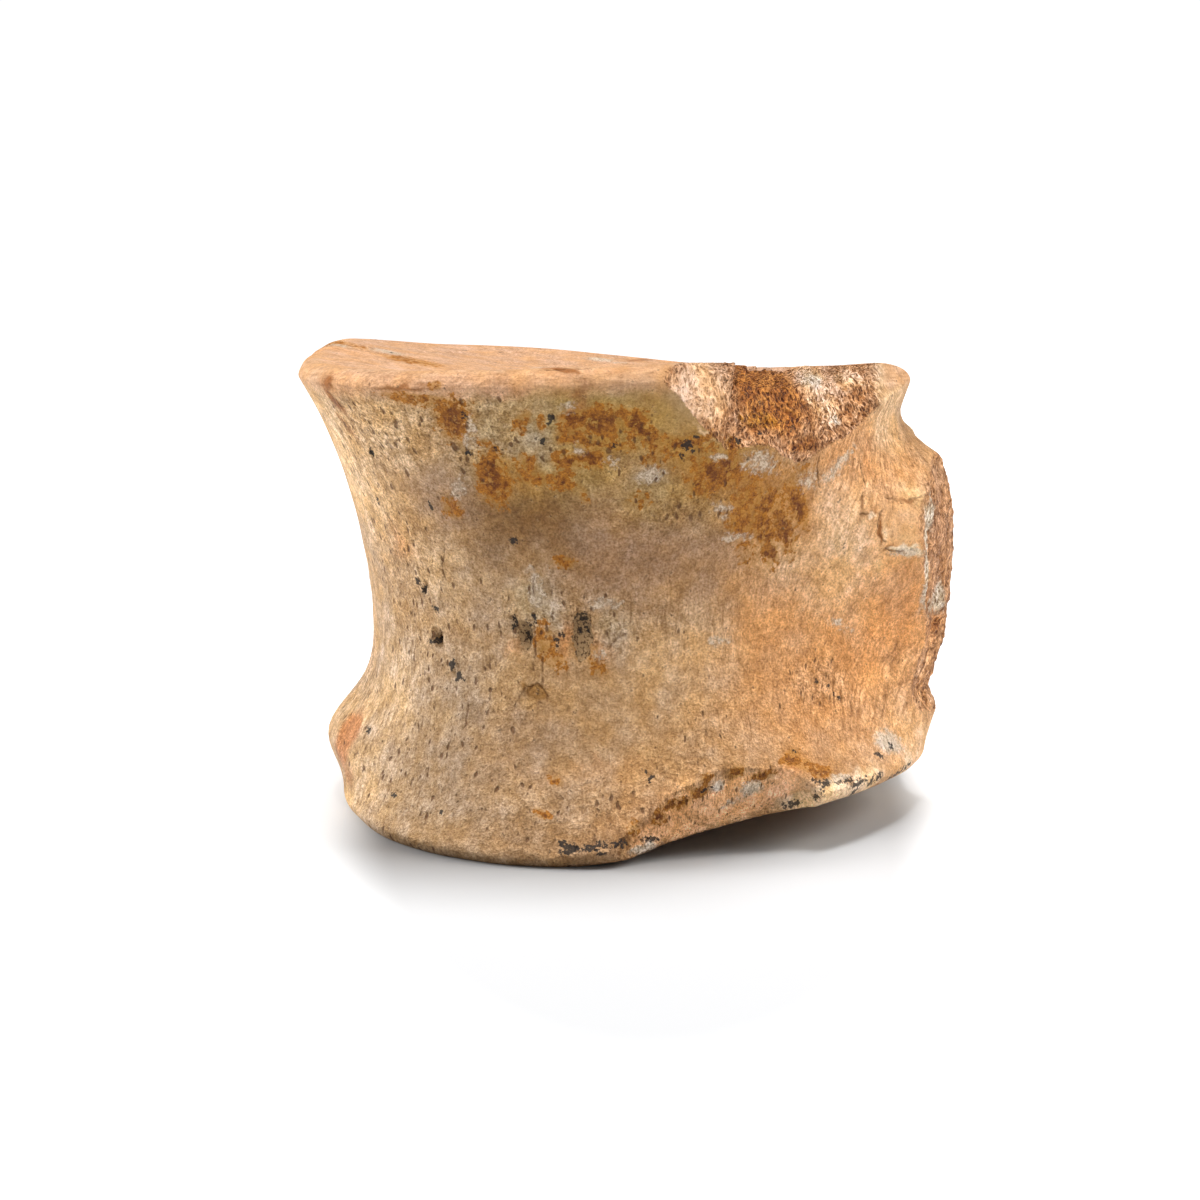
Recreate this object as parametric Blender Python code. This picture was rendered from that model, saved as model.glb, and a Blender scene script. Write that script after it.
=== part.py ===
"""Fossil plesiosaur vertebra: the body of one trunk vertebra, standing on an end face.

The bone is a short spool. Its two end faces are gently dished, with rounded
rims, and its sides draw in to a waist. On the right are the broken stumps of
the two pedicles, which once carried the arch, with the groove of the nerve
canal between them. Chips are missing from both rims at the front right.

Angles go round the bone from +X, the canal side, anticlockwise seen from above,
so 270 degrees faces the front. Heights are above the surface it stands on.
"""

import math

import bmesh
import bpy
from mathutils import Matrix, Vector, noise

MM = 0.001

# Outline of the upper rim: half widths to the left, to the right and to each side
TOP_LEFT, TOP_RIGHT, TOP_SIDE = 41.7 * MM, 42.8 * MM, 42.6 * MM
# Outline of the lower rim
LOW_LEFT, LOW_RIGHT, LOW_SIDE = 38.9 * MM, 42.6 * MM, 44.3 * MM
# Radius of the waist, and where it lies from the lower rim (0) to the upper (1)
WAIST_RADIUS = 34.9 * MM
WAIST_AT = 0.43
# 2 is an ellipse, more is squarer
TOP_SQUARE, LOW_SQUARE, WAIST_SQUARE, CANAL_SIDE_SQUARE = 3.3, 2.65, 2.15, 2.05
# How late the sides flare out to the rims
FLARE_UP_LEFT, FLARE_UP_RIGHT, FLARE_DOWN = 1.85, 1.5, 2.3

# The upper rim leans and twists a little; the axis leans to the left as it rises
LENGTH = 61.4 * MM
RIM_DROP_RIGHT, RIM_DROP_BACK, RIM_TWIST = 1.55 * MM, 1.8 * MM, 1.5 * MM
RIM_RISE_LEFT, RIM_RISE_AT, RIM_RISE_HALF = 0.45 * MM, 168, 40
RIM_DIP_BACK, RIM_DIP_AT, RIM_DIP_HALF = 0.75 * MM, 127, 35
AXIS_AT_TOP, AXIS_AT_BASE = 0.85 * MM, 3.5 * MM
# The lower rim is worn away at the front right, so it stands clear of the surface:
# it rises over the first pair of angles and comes down again over the second
WORN_HEIGHT = 5.9 * MM
WORN_RISE, WORN_FALL = (256, 308), (348, 376)
WORN_MIDDLE = (WORN_RISE[0] + WORN_FALL[1]) / 2
WORN_SHARE_OF_FACE = 0.12

# Rounding of the rims and dishing of the faces
LIP_IN, LIP_HIGH = 3.0 * MM, 2.1 * MM
FOOT_IN, FOOT_HIGH = 2.0 * MM, 2.1 * MM
DISH_TOP, DISH_LOW = 3.2 * MM, 2.6 * MM
PIT_RADIUS, PIT_DEPTH = 4.5 * MM, 0.8 * MM
# The rim rests on a narrow worn band at one level
RUBBED_OFF = 0.25 * MM

# Pedicles: each is a flat flank, tangent to the body at this angle
PEDICLE_TANGENT = 64
PEDICLE_ROOT, PEDICLE_FULL, PEDICLE_SPREAD = 7 * MM, 33 * MM, 1.2
PEDICLE_HEAD = (38 * MM, 55.5 * MM)
# The canal between them: its edges, in degrees, and how high its floor is kept
CANAL_FLOOR_EDGE, CANAL_EDGE = 4.5, 13.0
CANAL_FLOOR_SHARE = 0.15
CANAL_NOTCH = 1.5 * MM

# A knob over the left end of the lower rim
KNOB_AT, KNOB_HALF_ANGLE = 188, 40
KNOB_OUT, KNOB_HEIGHT, KNOB_SPREAD = 5.3 * MM, 9.6 * MM, 5.8 * MM

# Unevenness of the whole surface: size across and height of each kind
SWELLS = ((19 * MM, 0.45 * MM), (6.5 * MM, 0.16 * MM))

# The ball that is shaped into the bone: meridians, and rings on each stretch
MERIDIANS = 92
FACE_END, LIP_END, WALL_END, FOOT_END = 0.26, 0.30, 0.70, 0.74
STRETCHES = ((FACE_END, 7), (LIP_END, 4), (WALL_END, 18), (FOOT_END, 4), (1.0, 7))

BONE_COLOUR = (0.52, 0.33, 0.19, 1)
BONE_ROUGHNESS = 0.75

# Broken surfaces. Each has a point on it, the way it faces, its half width and
# half height, how far it bows out across and upwards (per metre), how rough it
# is, and ledges that lean across it: place, width and rise of each.
BREAKS = {
    "upper_rim": {
        "on": (24.9, -30.9, 56.2), "faces": (0.566, -0.627, 0.536), "half": (36, 22),
        "bow": (0, 0), "rough": 0.4, "ledges": ((-10.8, 0.6, -1.6), (0.3, 1.5, 0.5), (12.5, 7, 2.2)),
    },
    "near_pedicle": {
        "on": (46.6, -13.0, 36.0), "faces": (0.902, -0.432, 0.0), "half": (16, 24),
        "bow": (0, -7), "rough": 0.8, "ledges": (),
    },
    "far_pedicle": {
        "on": (45.2, 13.0, 36.0), "faces": (0.91, 0.40, 0.0), "half": (16, 32),
        "bow": (0, -7), "rough": 0.8, "ledges": (),
    },
    "lower_rim": {
        "on": (12.4, -38.6, 6.0), "faces": (0.38, -0.92, -0.10), "half": (18, 13),
        "bow": (8, 12), "rough": 0.5, "ledges": (),
    },
    "knob": {
        "on": (-37.4, -12.6, 10.2), "faces": (-0.86, -0.51, 0.0), "half": (10, 10),
        "bow": (25, 25), "rough": 0.35, "ledges": (),
    },
}
BREAK_GRAIN = 6 * MM
BREAK_STEP = 2.6 * MM
BREAK_REACH = 26 * MM
LEDGE_LEAN = 0.48
# The broken upper rim sinks deeper towards its lower tip: place, half width, depth
TIP_AT, TIP_HALF, TIP_DEPTH = 2.5, 4.5, 2.6
# Near the ends of its block a broken surface turns outwards and leaves the bone
EDGE_LIFT, EDGE_SHARE = 3 * MM, 0.8

# Blood-vessel openings at the waist: angle, height, half width, half height
OPENINGS = (
    (262.4, 27.15 * MM, 1.15 * MM, 3.0 * MM),
    (250.3, 27.1 * MM, 0.80 * MM, 1.9 * MM),
    (228.5, 25.6 * MM, 0.75 * MM, 1.2 * MM),
    (97.0, 27.5 * MM, 1.10 * MM, 2.4 * MM),
    (110.0, 29.0 * MM, 0.85 * MM, 1.8 * MM),
)
OPENING_DEPTH = 2.4 * MM


def smooth(value, low, high):
    """0 below low, 1 above high, and a soft step between."""
    part = min(max((value - low) / (high - low), 0.0), 1.0)
    return part * part * (3 - 2 * part)


def turn_between(angle, centre):
    """Signed turn in degrees from centre to angle, from -180 to 180."""
    return (angle - centre + 180) % 360 - 180


def lobe(angle, centre, half):
    """A soft hump, 1 at centre and 0 from half degrees away."""
    away = abs(turn_between(angle, centre)) / half
    if away >= 1:
        return 0.0
    return 0.5 + 0.5 * math.cos(math.pi * away)


def outline(angle, left, right, side, square_left, square_right):
    """Radius of a rounded, slightly square outline."""
    across, along = math.cos(math.radians(angle)), math.sin(math.radians(angle))
    half = right if across > 0 else left
    power = square_left + (square_right - square_left) * smooth(across, -0.6, 0.6)
    return (abs(across / half) ** power + abs(along / side) ** power) ** (-1 / power)


def top_rim(angle):
    rim = outline(angle, TOP_LEFT, TOP_RIGHT, TOP_SIDE, TOP_SQUARE, CANAL_SIDE_SQUARE)
    return rim - CANAL_NOTCH * lobe(angle, 0, 20)


def low_rim(angle):
    rim = outline(angle, LOW_LEFT, LOW_RIGHT, LOW_SIDE, LOW_SQUARE, CANAL_SIDE_SQUARE)
    return rim - CANAL_NOTCH * lobe(angle, 0, 20)


def top_level(angle):
    turn = math.radians(angle)
    lean = RIM_DROP_RIGHT * math.cos(turn) + RIM_DROP_BACK * math.sin(turn)
    twist = RIM_TWIST * math.sin(2 * turn)
    rise = RIM_RISE_LEFT * lobe(angle, RIM_RISE_AT, RIM_RISE_HALF)
    dip = RIM_DIP_BACK * lobe(angle, RIM_DIP_AT, RIM_DIP_HALF)
    return LENGTH - lean - twist + rise - dip


def low_level(angle):
    round_front = WORN_MIDDLE + turn_between(angle, WORN_MIDDLE)
    return WORN_HEIGHT * smooth(round_front, *WORN_RISE) * (1 - smooth(round_front, *WORN_FALL))


def pedicle(angle, height):
    """How much wider the body is where the pedicles stand, as a share of its radius."""
    away = abs(turn_between(angle, 0))
    flank = max(PEDICLE_TANGENT - away, 0)
    wider = 1 / math.cos(math.radians(flank)) - 1
    out_of_canal = smooth(away, CANAL_FLOOR_EDGE, CANAL_EDGE)
    wider *= CANAL_FLOOR_SHARE + (1 - CANAL_FLOOR_SHARE) * out_of_canal
    rise = min(max((height - PEDICLE_ROOT) / (PEDICLE_FULL - PEDICLE_ROOT), 0), 1)
    rise *= PEDICLE_SPREAD + (1 - PEDICLE_SPREAD) * rise
    return wider * rise * (1 - smooth(height, *PEDICLE_HEAD))


def wall_radius(angle, share, height):
    """Radius of the side, share going from the lower rim (0) to the upper (1)."""
    waist = outline(angle, WAIST_RADIUS, WAIST_RADIUS, WAIST_RADIUS, WAIST_SQUARE, 2)
    if share > WAIST_AT:
        right = 0.5 + 0.5 * math.cos(math.radians(angle))
        power = FLARE_UP_LEFT + (FLARE_UP_RIGHT - FLARE_UP_LEFT) * right
        flare = ((share - WAIST_AT) / (1 - WAIST_AT)) ** power
        radius = waist + (top_rim(angle) - waist) * flare
    else:
        flare = ((WAIST_AT - share) / WAIST_AT) ** FLARE_DOWN
        radius = waist + (low_rim(angle) - waist) * flare
    radius += radius * pedicle(angle, height)
    knob = math.exp(-(((height - KNOB_HEIGHT) / KNOB_SPREAD) ** 2))
    return radius + KNOB_OUT * lobe(angle, KNOB_AT, KNOB_HALF_ANGLE) * knob


def dish(share, depth):
    """Depth below the rim at a share of the face's radius, with the pit at its centre."""
    pit = PIT_DEPTH * (1 - smooth(share * TOP_SIDE, 0, PIT_RADIUS))
    return depth * (1 - share ** 2) ** 1.3 + pit


def bone_point(angle, along):
    """A point of the surface. along runs from the upper face's centre (0) over the
    lip, down the side and round the foot to the lower face's centre (1)."""
    top, low = top_level(angle), low_level(angle)
    rim, foot = top_rim(angle), low_rim(angle)
    if along < FACE_END:
        share = along / FACE_END
        radius = share * (rim - LIP_IN)
        height = LENGTH + (top - LENGTH) * share ** 1.5 - dish(share, DISH_TOP)
    elif along < LIP_END:
        turn = (along - FACE_END) / (LIP_END - FACE_END) * math.pi / 2
        radius = rim - LIP_IN + LIP_IN * math.sin(turn)
        height = top - LIP_HIGH + LIP_HIGH * math.cos(turn)
    elif along < WALL_END:
        share = (WALL_END - along) / (WALL_END - LIP_END)
        height = low + FOOT_HIGH + (top - LIP_HIGH - low - FOOT_HIGH) * share
        radius = wall_radius(angle, share, height)
    elif along < FOOT_END:
        turn = (FOOT_END - along) / (FOOT_END - WALL_END) * math.pi / 2
        wall = wall_radius(angle, 0, low + FOOT_HIGH)
        radius = foot - FOOT_IN + FOOT_IN * math.sin(turn)
        radius += (wall - foot) * math.sin(turn) ** 2
        height = low + FOOT_HIGH - FOOT_HIGH * math.cos(turn)
    else:
        share = (1 - along) / (1 - FOOT_END)
        middle = WORN_HEIGHT * WORN_SHARE_OF_FACE
        radius = share * (foot - FOOT_IN)
        height = middle + (low - middle) * share ** 1.5 + dish(share, DISH_LOW)
    axis = AXIS_AT_BASE + (AXIS_AT_TOP - AXIS_AT_BASE) * height / LENGTH
    turn = math.radians(angle)
    return Vector((axis + radius * math.cos(turn), radius * math.sin(turn), height))


def heart():
    """A point deep inside the bone, from which the swells push outwards."""
    return Vector(((AXIS_AT_TOP + AXIS_AT_BASE) / 2, 0, LENGTH / 2))


def swell(point):
    """The point moved in or out by the surface's unevenness."""
    outward = (point - heart()).normalized()
    for size, height in SWELLS:
        point = point + outward * height * noise.noise(point / size)
    return point


def rings():
    """How far along the profile each ring of the ball goes."""
    places = [0.0]
    start = 0.0
    for end, count in STRETCHES:
        for step in range(1, count + 1):
            places.append(start + (end - start) * step / count)
        start = end
    return places


def add_solid(name, shape, collection):
    """Makes an object of a closed shape, with its faces turned outwards."""
    bmesh.ops.recalc_face_normals(shape, faces=shape.faces)
    if shape.calc_volume(signed=True) < 0:
        bmesh.ops.reverse_faces(shape, faces=shape.faces)
    mesh = bpy.data.meshes.new(name)
    shape.to_mesh(mesh)
    shape.free()
    thing = bpy.data.objects.new(name, mesh)
    collection.objects.link(thing)
    return thing


def make_body(name, collection):
    """A ball of rings, every point moved to its place on the bone."""
    places = rings()
    shape = bmesh.new()
    bmesh.ops.create_uvsphere(
        shape, u_segments=MERIDIANS, v_segments=len(places) - 1, radius=1
    )
    for vert in shape.verts:
        down = math.acos(max(-1.0, min(1.0, vert.co.z))) / math.pi
        ring = round(down * (len(places) - 1))
        angle = math.degrees(math.atan2(vert.co.y, vert.co.x))
        point = swell(bone_point(angle, places[ring]))
        vert.co = (point.x, point.y, max(point.z, RUBBED_OFF))
    return add_solid(name, shape, collection)


def break_height(across, up, spec):
    """Height of a broken surface over its plane: its bow, edge, ledges, tip and grain."""
    height = spec["bow"][0] * across ** 2 + spec["bow"][1] * up ** 2
    to_edge = max(abs(across) / spec["half"][0], abs(up) / spec["half"][1]) / MM
    height += EDGE_LIFT * smooth(to_edge, EDGE_SHARE, 1)
    leaned = (across - LEDGE_LEAN * up) / MM
    for place, width, rise in spec["ledges"]:
        height += rise * MM * smooth(leaned, place - width / 2, place + width / 2)
    if spec["ledges"]:
        tip = math.exp(-(((leaned - TIP_AT) / TIP_HALF) ** 2))
        height -= TIP_DEPTH * MM * tip * smooth(-up / MM, 0, 8)
    spot = Vector((across / BREAK_GRAIN, up / BREAK_GRAIN, sum(spec["on"])))
    return height + spec["rough"] * MM * noise.fractal(spot, 1.0, 2.0, 2)


def make_break(name, spec, collection):
    """A block whose inner face is the broken surface, for cutting the bone."""
    facing = Vector(spec["faces"]).normalized()
    up = (Vector((0, 0, 1)) - facing * facing.z).normalized()
    across = up.cross(facing)
    half_across, half_up = (size * MM for size in spec["half"])
    shape = bmesh.new()
    bmesh.ops.create_grid(
        shape,
        x_segments=round(2 * half_across / BREAK_STEP),
        y_segments=round(2 * half_up / BREAK_STEP),
        size=1,
    )
    faces = list(shape.faces)
    raised = bmesh.ops.extrude_face_region(shape, geom=faces)["geom"]
    outer = {item for item in raised if isinstance(item, bmesh.types.BMVert)}
    for vert in shape.verts:
        a, b = vert.co.x * half_across, vert.co.y * half_up
        rise = BREAK_REACH if vert in outer else break_height(a, b, spec)
        vert.co = Vector(spec["on"]) * MM + across * a + up * b + facing * rise
    return hide_cutter(add_solid(name, shape, collection))


def make_opening(name, opening, collection):
    """An egg-shaped cutter, standing in the side of the bone."""
    angle, height, half_wide, half_high = opening
    share = height / LENGTH
    along = WALL_END - (WALL_END - LIP_END) * share
    place = swell(bone_point(angle, along))
    shape = bmesh.new()
    size = Matrix.Diagonal((OPENING_DEPTH, half_wide, half_high, 1))
    turned = Matrix.Rotation(math.radians(angle), 4, "Z")
    bmesh.ops.create_uvsphere(shape, u_segments=12, v_segments=8, radius=1)
    bmesh.ops.transform(
        shape, matrix=Matrix.Translation(place) @ turned @ size, verts=shape.verts
    )
    return hide_cutter(add_solid(name, shape, collection))


def hide_cutter(cutter):
    cutter.hide_render = True
    cutter.display_type = "WIRE"
    return cutter


def cut(body, cutter):
    modifier = body.modifiers.new(cutter.name, "BOOLEAN")
    modifier.operation = "DIFFERENCE"
    modifier.solver = "EXACT"
    modifier.object = cutter


def islands(shape):
    """The mesh's separate surfaces, as lists of vertices."""
    left = set(shape.verts)
    found = []
    while left:
        queue = [left.pop()]
        island = []
        while queue:
            vert = queue.pop()
            island.append(vert)
            for edge in vert.link_edges:
                other = edge.other_vert(vert)
                if other in left:
                    left.remove(other)
                    queue.append(other)
        found.append(island)
    return found


def settle(body):
    """Applies the cuts, keeps the largest closed surface, and puts the bone's
    origin at the middle of its base."""
    bpy.context.view_layer.update()
    evaluated = body.evaluated_get(bpy.context.evaluated_depsgraph_get())
    mesh = bpy.data.meshes.new_from_object(evaluated)
    mesh.name = body.name
    body.modifiers.clear()
    body.data = mesh
    shape = bmesh.new()
    shape.from_mesh(mesh)
    surfaces = sorted(islands(shape), key=len)
    for surface in surfaces[:-1]:
        bmesh.ops.delete(shape, geom=surface, context="VERTS")
    bmesh.ops.remove_doubles(shape, verts=shape.verts, dist=0.02 * MM)
    bmesh.ops.dissolve_degenerate(shape, edges=shape.edges, dist=0.02 * MM)
    bmesh.ops.triangulate(shape, faces=shape.faces)
    lows = [min(vert.co[axis] for vert in shape.verts) for axis in range(3)]
    highs = [max(vert.co[axis] for vert in shape.verts) for axis in range(3)]
    base = Vector(((lows[0] + highs[0]) / 2, (lows[1] + highs[1]) / 2, lows[2]))
    bmesh.ops.translate(shape, verts=shape.verts, vec=-base)
    shape.to_mesh(mesh)
    shape.free()
    mesh.shade_smooth()
    mesh.set_sharp_from_angle(angle=math.radians(40))


def bone_material():
    material = bpy.data.materials.new("fossil_bone")
    material.use_nodes = True
    surface = material.node_tree.nodes["Principled BSDF"]
    surface.inputs["Base Color"].default_value = BONE_COLOUR
    surface.inputs["Roughness"].default_value = BONE_ROUGHNESS
    surface.inputs["Metallic"].default_value = 0
    return material


def main():
    for thing in list(bpy.data.objects):
        bpy.data.objects.remove(thing)
    bones = bpy.data.collections.new("plesiosaur_vertebra")
    cutters = bpy.data.collections.new("cutters")
    for collection in (bones, cutters):
        bpy.context.scene.collection.children.link(collection)
    body = make_body("vertebra", bones)
    for name, spec in BREAKS.items():
        cut(body, make_break("break_" + name, spec, cutters))
    for number, opening in enumerate(OPENINGS, 1):
        cut(body, make_opening(f"opening_{number}", opening, cutters))
    settle(body)
    body.data.materials.clear()
    body.data.materials.append(bone_material())


main()
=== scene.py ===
# %% [markdown]
# # A fossil plesiosaur vertebra
# This lesson dresses one solid, a plain bone made in CAD, so that it looks like a
# real fossil: tan and ochre bone with rubbed rims, broken surfaces full of little
# holes, stains, pale crusts and black mineral specks.
# The plain solid is loaded first and never changed. It says how large the bone is
# and where it stands, and the detailed surface made here takes its place.

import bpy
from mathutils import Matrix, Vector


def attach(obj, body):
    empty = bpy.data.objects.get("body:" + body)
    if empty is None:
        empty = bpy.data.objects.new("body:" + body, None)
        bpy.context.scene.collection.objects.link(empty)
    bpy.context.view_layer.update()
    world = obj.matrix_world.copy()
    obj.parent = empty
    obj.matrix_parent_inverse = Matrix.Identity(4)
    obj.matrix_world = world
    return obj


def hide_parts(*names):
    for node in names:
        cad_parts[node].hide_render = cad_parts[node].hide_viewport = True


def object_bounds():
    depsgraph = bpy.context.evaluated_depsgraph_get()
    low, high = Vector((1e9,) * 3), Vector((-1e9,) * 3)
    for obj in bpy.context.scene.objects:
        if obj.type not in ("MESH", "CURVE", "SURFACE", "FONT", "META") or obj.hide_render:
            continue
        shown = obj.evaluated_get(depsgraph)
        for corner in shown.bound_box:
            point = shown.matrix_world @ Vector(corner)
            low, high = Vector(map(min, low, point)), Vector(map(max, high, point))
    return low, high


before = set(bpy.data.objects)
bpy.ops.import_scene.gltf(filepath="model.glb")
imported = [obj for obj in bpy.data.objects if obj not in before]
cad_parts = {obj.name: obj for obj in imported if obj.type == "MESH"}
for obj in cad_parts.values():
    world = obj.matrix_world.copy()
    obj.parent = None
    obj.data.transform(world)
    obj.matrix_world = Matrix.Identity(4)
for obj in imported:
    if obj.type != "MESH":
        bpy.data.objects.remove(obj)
CAD_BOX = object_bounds()
print("CAD box, mm:", [[round(value * 1000, 1) for value in corner] for corner in CAD_BOX])

# %% [markdown]
# Everything is in metres, but a bone is easier to describe in millimetres, so the
# sizes below are written as a number times MM. Numbers go round the bone as
# angles, from the canal side on the right (0 degrees) anticlockwise seen from
# above, so that 270 degrees faces the viewer.

# %% Imports and units
import math
import random

import bmesh
import bpy
import numpy as np
from mathutils import Vector, noise
from mathutils.bvhtree import BVHTree

MM = 0.001
# Vector noise would start from the clock, so it gets a seed: every run is the same
SEED = 11
noise.seed_set(SEED)

# %% [markdown]
# ## The camera
# The photograph looks at the bone from the front and a little from above. A point
# of the bone can be turned into a place in the photograph, and back, with the
# same few numbers that set up the camera: the size of the picture, the focal
# length in pixels, the height angle and the distance.

# %% Camera numbers
PHOTO_SIZE = 1200
FOCAL_PIXELS = 2164
CAMERA_RISE = math.radians(10)
CAMERA_DISTANCE = 311 * MM
CAMERA_TARGET = Vector((0, 0, 26.9 * MM))

LOOK = Vector((0, math.cos(CAMERA_RISE), -math.sin(CAMERA_RISE)))
LOOK_UP = Vector((0, math.sin(CAMERA_RISE), math.cos(CAMERA_RISE)))
LOOK_RIGHT = Vector((1, 0, 0))
CAMERA_PLACE = CAMERA_TARGET - LOOK * CAMERA_DISTANCE


def pixel_ray(x, y):
    """The direction in which the camera sees a pixel of the photograph."""
    right = (x - PHOTO_SIZE / 2) / FOCAL_PIXELS
    down = (y - PHOTO_SIZE / 2) / FOCAL_PIXELS
    return (LOOK + LOOK_RIGHT * right - LOOK_UP * down).normalized()


print("camera place, mm:", [round(value / MM, 1) for value in CAMERA_PLACE])

# %% [markdown]
# ## The shape of the bone
# A vertebra's body is a spool: two flat, slightly dished end faces with rounded
# rims, and sides that draw in to a waist. It could be sculpted by hand, but a
# few named sizes and outline functions describe it more exactly, and they are
# the ones the CAD solid was made with, so the two fit each other.

# %% Sizes of the spool
TOP_LEFT, TOP_RIGHT, TOP_SIDE = 41.7 * MM, 42.8 * MM, 42.6 * MM
LOW_LEFT, LOW_RIGHT, LOW_SIDE = 38.9 * MM, 42.6 * MM, 44.3 * MM
WAIST_RADIUS = 34.9 * MM
WAIST_AT = 0.43
TOP_SQUARE, LOW_SQUARE, WAIST_SQUARE, CANAL_SIDE_SQUARE = 3.3, 2.65, 2.15, 2.05
FLARE_UP_LEFT, FLARE_UP_RIGHT, FLARE_DOWN = 1.85, 1.5, 2.3
LENGTH = 61.4 * MM
RIM_DROP_RIGHT, RIM_DROP_BACK, RIM_TWIST = 1.55 * MM, 1.8 * MM, 1.5 * MM
RIM_RISE_LEFT, RIM_RISE_AT, RIM_RISE_HALF = 0.45 * MM, 168, 40
RIM_DIP_BACK, RIM_DIP_AT, RIM_DIP_HALF = 0.75 * MM, 127, 35
AXIS_AT_TOP, AXIS_AT_BASE = 0.85 * MM, 3.5 * MM
WORN_HEIGHT, WORN_SHARE_OF_FACE = 5.9 * MM, 0.12
WORN_RISE, WORN_FALL = (256, 308), (348, 376)
WORN_MIDDLE = (WORN_RISE[0] + WORN_FALL[1]) / 2
LIP_IN, LIP_HIGH = 3.0 * MM, 2.1 * MM
FOOT_IN, FOOT_HIGH = 2.0 * MM, 2.1 * MM
DISH_TOP, DISH_LOW = 3.2 * MM, 2.6 * MM
PIT_RADIUS, PIT_DEPTH = 4.5 * MM, 0.8 * MM
RUBBED_OFF = 0.25 * MM
PEDICLE_TANGENT = 64
PEDICLE_ROOT, PEDICLE_FULL, PEDICLE_SPREAD = 7 * MM, 33 * MM, 1.2
PEDICLE_HEAD = (38 * MM, 55.5 * MM)
CANAL_FLOOR_EDGE, CANAL_EDGE, CANAL_FLOOR_SHARE = 4.5, 13.0, 0.15
CANAL_NOTCH = 1.5 * MM
KNOB_AT, KNOB_HALF_ANGLE = 188, 40
KNOB_OUT, KNOB_HEIGHT, KNOB_SPREAD = 5.3 * MM, 9.6 * MM, 5.8 * MM
SWELLS = ((19 * MM, 0.45 * MM), (6.5 * MM, 0.16 * MM))
FACE_END, LIP_END, WALL_END, FOOT_END = 0.26, 0.30, 0.70, 0.74


# %% Small helpers
def smooth(value, low, high):
    """0 below low, 1 above high, and a soft step between."""
    part = min(max((value - low) / (high - low), 0.0), 1.0)
    return part * part * (3 - 2 * part)


def turn_between(angle, centre):
    """Signed turn in degrees from centre to angle, from -180 to 180."""
    return (angle - centre + 180) % 360 - 180


def lobe(angle, centre, half):
    """A soft hump, 1 at centre and 0 from half degrees away."""
    away = abs(turn_between(angle, centre)) / half
    if away >= 1:
        return 0.0
    return 0.5 + 0.5 * math.cos(math.pi * away)


# %% [markdown]
# The rims seen from above are rounded, slightly square outlines, wider on the
# canal side. The upper rim leans and twists a little, and the lower rim is worn
# away at the front right, where the bone stands clear of the surface.

# %% Outlines and levels of the rims
def outline(angle, left, right, side, square_left, square_right):
    """Radius of a rounded, slightly square outline."""
    across, along = math.cos(math.radians(angle)), math.sin(math.radians(angle))
    half = right if across > 0 else left
    power = square_left + (square_right - square_left) * smooth(across, -0.6, 0.6)
    return (abs(across / half) ** power + abs(along / side) ** power) ** (-1 / power)


def top_rim(angle):
    rim = outline(angle, TOP_LEFT, TOP_RIGHT, TOP_SIDE, TOP_SQUARE, CANAL_SIDE_SQUARE)
    return rim - CANAL_NOTCH * lobe(angle, 0, 20)


def low_rim(angle):
    rim = outline(angle, LOW_LEFT, LOW_RIGHT, LOW_SIDE, LOW_SQUARE, CANAL_SIDE_SQUARE)
    return rim - CANAL_NOTCH * lobe(angle, 0, 20)


def top_level(angle):
    turn = math.radians(angle)
    lean = RIM_DROP_RIGHT * math.cos(turn) + RIM_DROP_BACK * math.sin(turn)
    twist = RIM_TWIST * math.sin(2 * turn)
    rise = RIM_RISE_LEFT * lobe(angle, RIM_RISE_AT, RIM_RISE_HALF)
    dip = RIM_DIP_BACK * lobe(angle, RIM_DIP_AT, RIM_DIP_HALF)
    return LENGTH - lean - twist + rise - dip


def low_level(angle):
    round_front = WORN_MIDDLE + turn_between(angle, WORN_MIDDLE)
    return WORN_HEIGHT * smooth(round_front, *WORN_RISE) * (1 - smooth(round_front, *WORN_FALL))


print("upper rim, mm:", [round(top_rim(angle) / MM, 1) for angle in range(0, 360, 45)])

# %% [markdown]
# Between the rims the side is a smooth hollow curve. On the right it carries the
# stumps of the two pedicles, which once held the arch, with the groove of the
# nerve canal between them, and on the left a knob stands over the lower rim.

# %% The side of the bone
def pedicle(angle, height):
    """How much wider the body is where the pedicles stand, as a share of its radius."""
    away = abs(turn_between(angle, 0))
    flank = max(PEDICLE_TANGENT - away, 0)
    wider = 1 / math.cos(math.radians(flank)) - 1
    out_of_canal = smooth(away, CANAL_FLOOR_EDGE, CANAL_EDGE)
    wider *= CANAL_FLOOR_SHARE + (1 - CANAL_FLOOR_SHARE) * out_of_canal
    rise = min(max((height - PEDICLE_ROOT) / (PEDICLE_FULL - PEDICLE_ROOT), 0), 1)
    rise *= PEDICLE_SPREAD + (1 - PEDICLE_SPREAD) * rise
    return wider * rise * (1 - smooth(height, *PEDICLE_HEAD))


def wall_radius(angle, share, height):
    """Radius of the side, share going from the lower rim (0) to the upper (1)."""
    waist = outline(angle, WAIST_RADIUS, WAIST_RADIUS, WAIST_RADIUS, WAIST_SQUARE, 2)
    if share > WAIST_AT:
        right = 0.5 + 0.5 * math.cos(math.radians(angle))
        power = FLARE_UP_LEFT + (FLARE_UP_RIGHT - FLARE_UP_LEFT) * right
        flare = ((share - WAIST_AT) / (1 - WAIST_AT)) ** power
        radius = waist + (top_rim(angle) - waist) * flare
    else:
        flare = ((WAIST_AT - share) / WAIST_AT) ** FLARE_DOWN
        radius = waist + (low_rim(angle) - waist) * flare
    radius += radius * pedicle(angle, height)
    knob = math.exp(-(((height - KNOB_HEIGHT) / KNOB_SPREAD) ** 2))
    return radius + KNOB_OUT * lobe(angle, KNOB_AT, KNOB_HALF_ANGLE) * knob


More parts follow.
